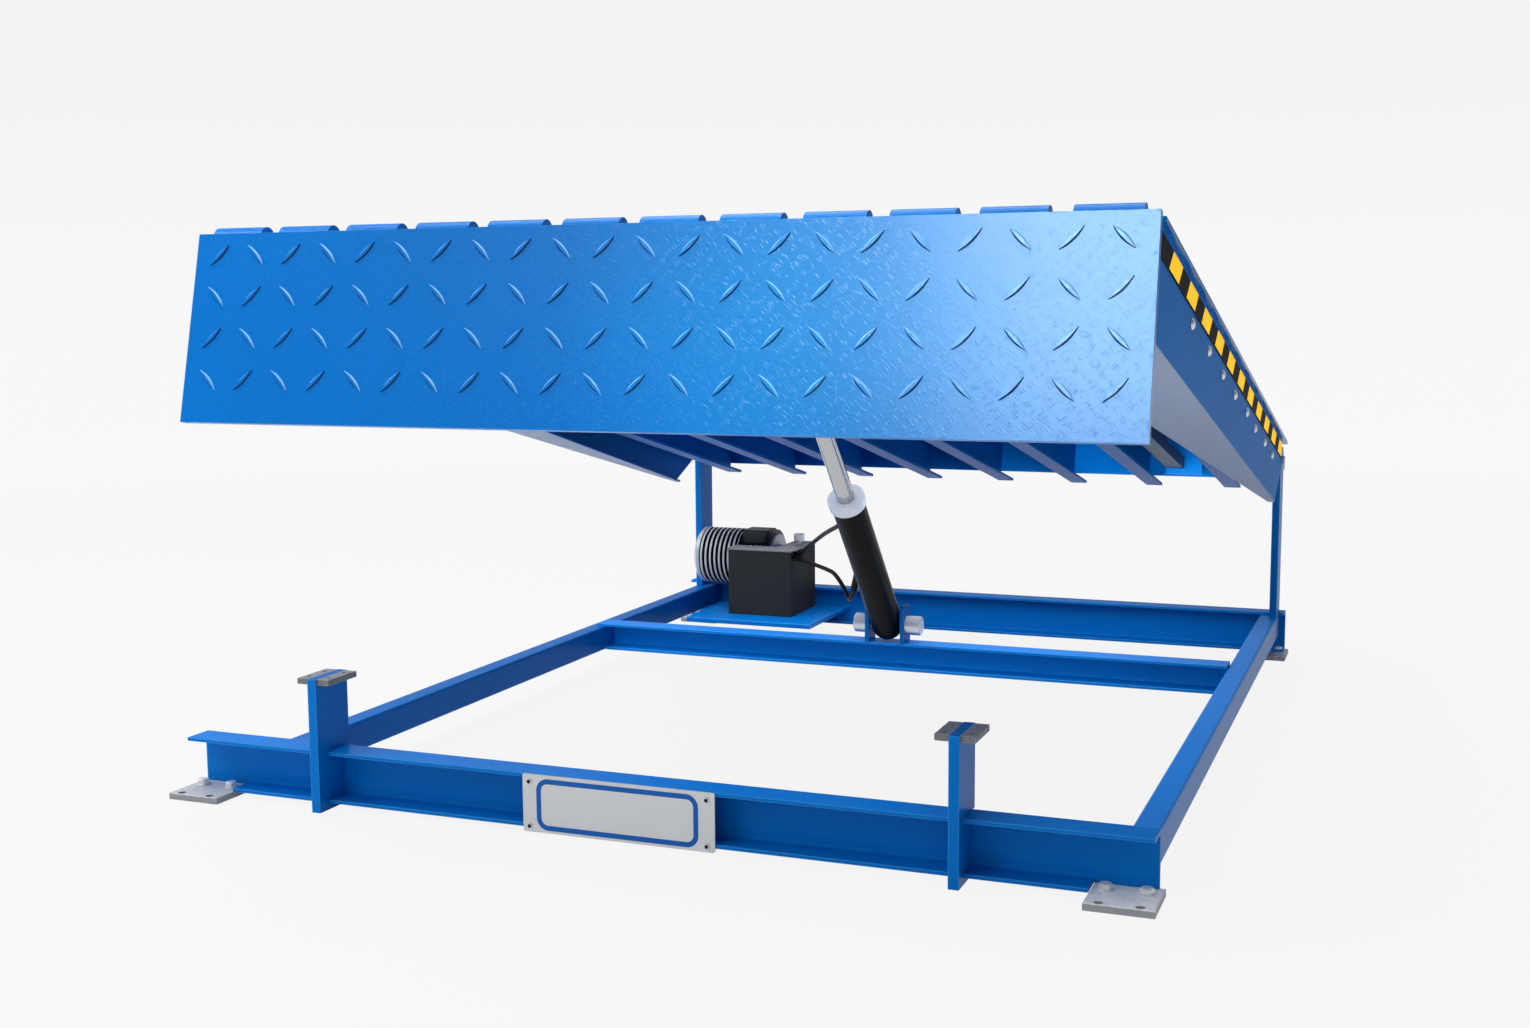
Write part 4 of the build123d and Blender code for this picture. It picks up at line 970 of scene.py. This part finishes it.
class LEVELER_OT_guard_bolts(bpy.types.Operator):
    """Set the round-headed bolts in both side guards"""
    bl_idname = "leveler.guard_bolts"
    bl_label = "Guard bolts"

    half_width = 1.0  # out to the guards' outer faces
    # Y and Z of each guard's bolts, from the datum
    rows = [(0.263, 1.083), (0.529, 1.023), (0.783, 0.963), (1.034, 0.904),
            (1.311, 0.846), (1.527, 0.790), (1.797, 0.732), (2.030, 0.677)]

    def execute(self, context):
        settings = context.scene.leveler.fittings
        zinc = bpy.data.materials["bright_zinc"]
        radius, height = settings.guard_bolt_radius, settings.guard_bolt_height
        dome = [(radius, 0), (radius, height * 0.15), (radius * 0.93, height * 0.45), (radius * 0.75, height * 0.75),
                (radius * 0.45, height * 0.94), (0, height)]
        for side, name in ((-1, "left"), (1, "right")):
            places = [from_datum(side * self.half_width, y, z) for y, z in self.rows]
            fasteners(f"{name}_guard_bolts", turned_mesh("dome_head", dome, 20), places, (0, side * pi / 2, 0),
                      zinc, "deck")
        return {"FINISHED"}


class LEVELER_OT_warning_strips(bpy.types.Operator):
    """Lay black and yellow film on the side guards' strips"""
    bl_idname = "leveler.warning_strips"
    bl_label = "Warning strips"

    def execute(self, context):
        leveler = context.scene.leveler
        dress(warning_film(leveler.fittings, leveler.colors), "left_warning_strip", "right_warning_strip")
        return {"FINISHED"}


class LEVELER_OT_cylinder(bpy.types.Operator):
    """Finish the cylinder: painted barrel, turned gland, chromed rod"""
    bl_idname = "leveler.cylinder"
    bl_label = "Cylinder"

    def execute(self, context):
        colors = context.scene.leveler.colors
        dress(powder_coat("satin_black", colors.barrel, 0.36, 0.003, 0.05, 1.18), "barrel")
        dress(turned_steel(colors, "turned_gland", linear("D5DCE6"), 0.3, 0.53), "gland")
        dress(hard_chrome(colors), "piston_rod")
        return {"FINISHED"}


class LEVELER_OT_power_unit(bpy.types.Operator):
    """Finish the oil tank, its lid and screws, the motor and the terminal box"""
    bl_idname = "leveler.power_unit"
    bl_label = "Power unit"

    def execute(self, context):
        settings = context.scene.leveler.fittings
        colors = context.scene.leveler.colors
        dress(powder_coat("charcoal_coat", colors.tank, 0.6, index=1.12), "oil_tank")
        # Painted reflection: the lid's grey is much lighter than the tank's, for the pale room mirrored in its top
        dress(powder_coat("lid_coat", linear("6E7174"), 0.45), "tank_lid")
        dress(motor_casting(colors), "motor_body")
        dress(turned_steel(colors, "turned_aluminium", linear("C6CDD6"), 0.35, 0.2), "motor_bell", "motor_flange")
        dress(powder_coat("box_paint", linear("26292D"), 0.42), "terminal_box")
        dress(bpy.data.materials["turned_steel"], "breather_cap")
        lid_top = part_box("tank_lid")[1].z
        radius = settings.lid_screw_radius
        head = turned_mesh("pan_head", [(radius, 0), (radius, 0.0012), (radius * 0.8, 0.0026), (0, 0.003)], 16)
        places = [from_datum(x, y, lid_top) for x, y in
                  ((-0.736, 2.216), (-0.702, 2.216), (-0.785, 2.162), (-0.580, 2.162), (-0.580, 2.380),
                   (-0.622, 2.380))]
        fasteners("lid_screws", head, places, (0, 0, 0), bpy.data.materials["bright_zinc"],
                  "root")
        return {"FINISHED"}


OPERATORS = (
    LEVELER_OT_stage, LEVELER_OT_hoses, LEVELER_OT_frame, LEVELER_OT_foot_bolts, LEVELER_OT_nameplate,
    LEVELER_OT_deck, LEVELER_OT_tread, LEVELER_OT_guard_bolts, LEVELER_OT_warning_strips,
    LEVELER_OT_cylinder, LEVELER_OT_power_unit,
)


class LEVELER_PT_panel(bpy.types.Panel):
    """The leveler's pieces and finishes"""
    bl_idname = "LEVELER_PT_panel"
    bl_label = "Dock Leveler"
    bl_space_type = "VIEW_3D"
    bl_region_type = "UI"
    bl_category = "Leveler"

    def draw(self, context):
        for operator in OPERATORS:
            self.layout.operator(operator.bl_idname)


CLASSES = (LevelerStage, LevelerColors, LevelerTread, LevelerFittings, Leveler, *OPERATORS, LEVELER_PT_panel)


def register():
    for kind in CLASSES:
        bpy.utils.register_class(kind)
    bpy.types.Scene.leveler = bpy.props.PointerProperty(type=Leveler, name="Leveler", description="Leveler settings")


def unregister():
    del bpy.types.Scene.leveler
    for kind in reversed(CLASSES):
        bpy.utils.unregister_class(kind)


def main():
    """Dress the whole leveler."""
    register()
    for operator in OPERATORS:
        family, name = operator.bl_idname.split(".")
        getattr(getattr(bpy.ops, family), name)()


if __name__ == "__main__":
    main()
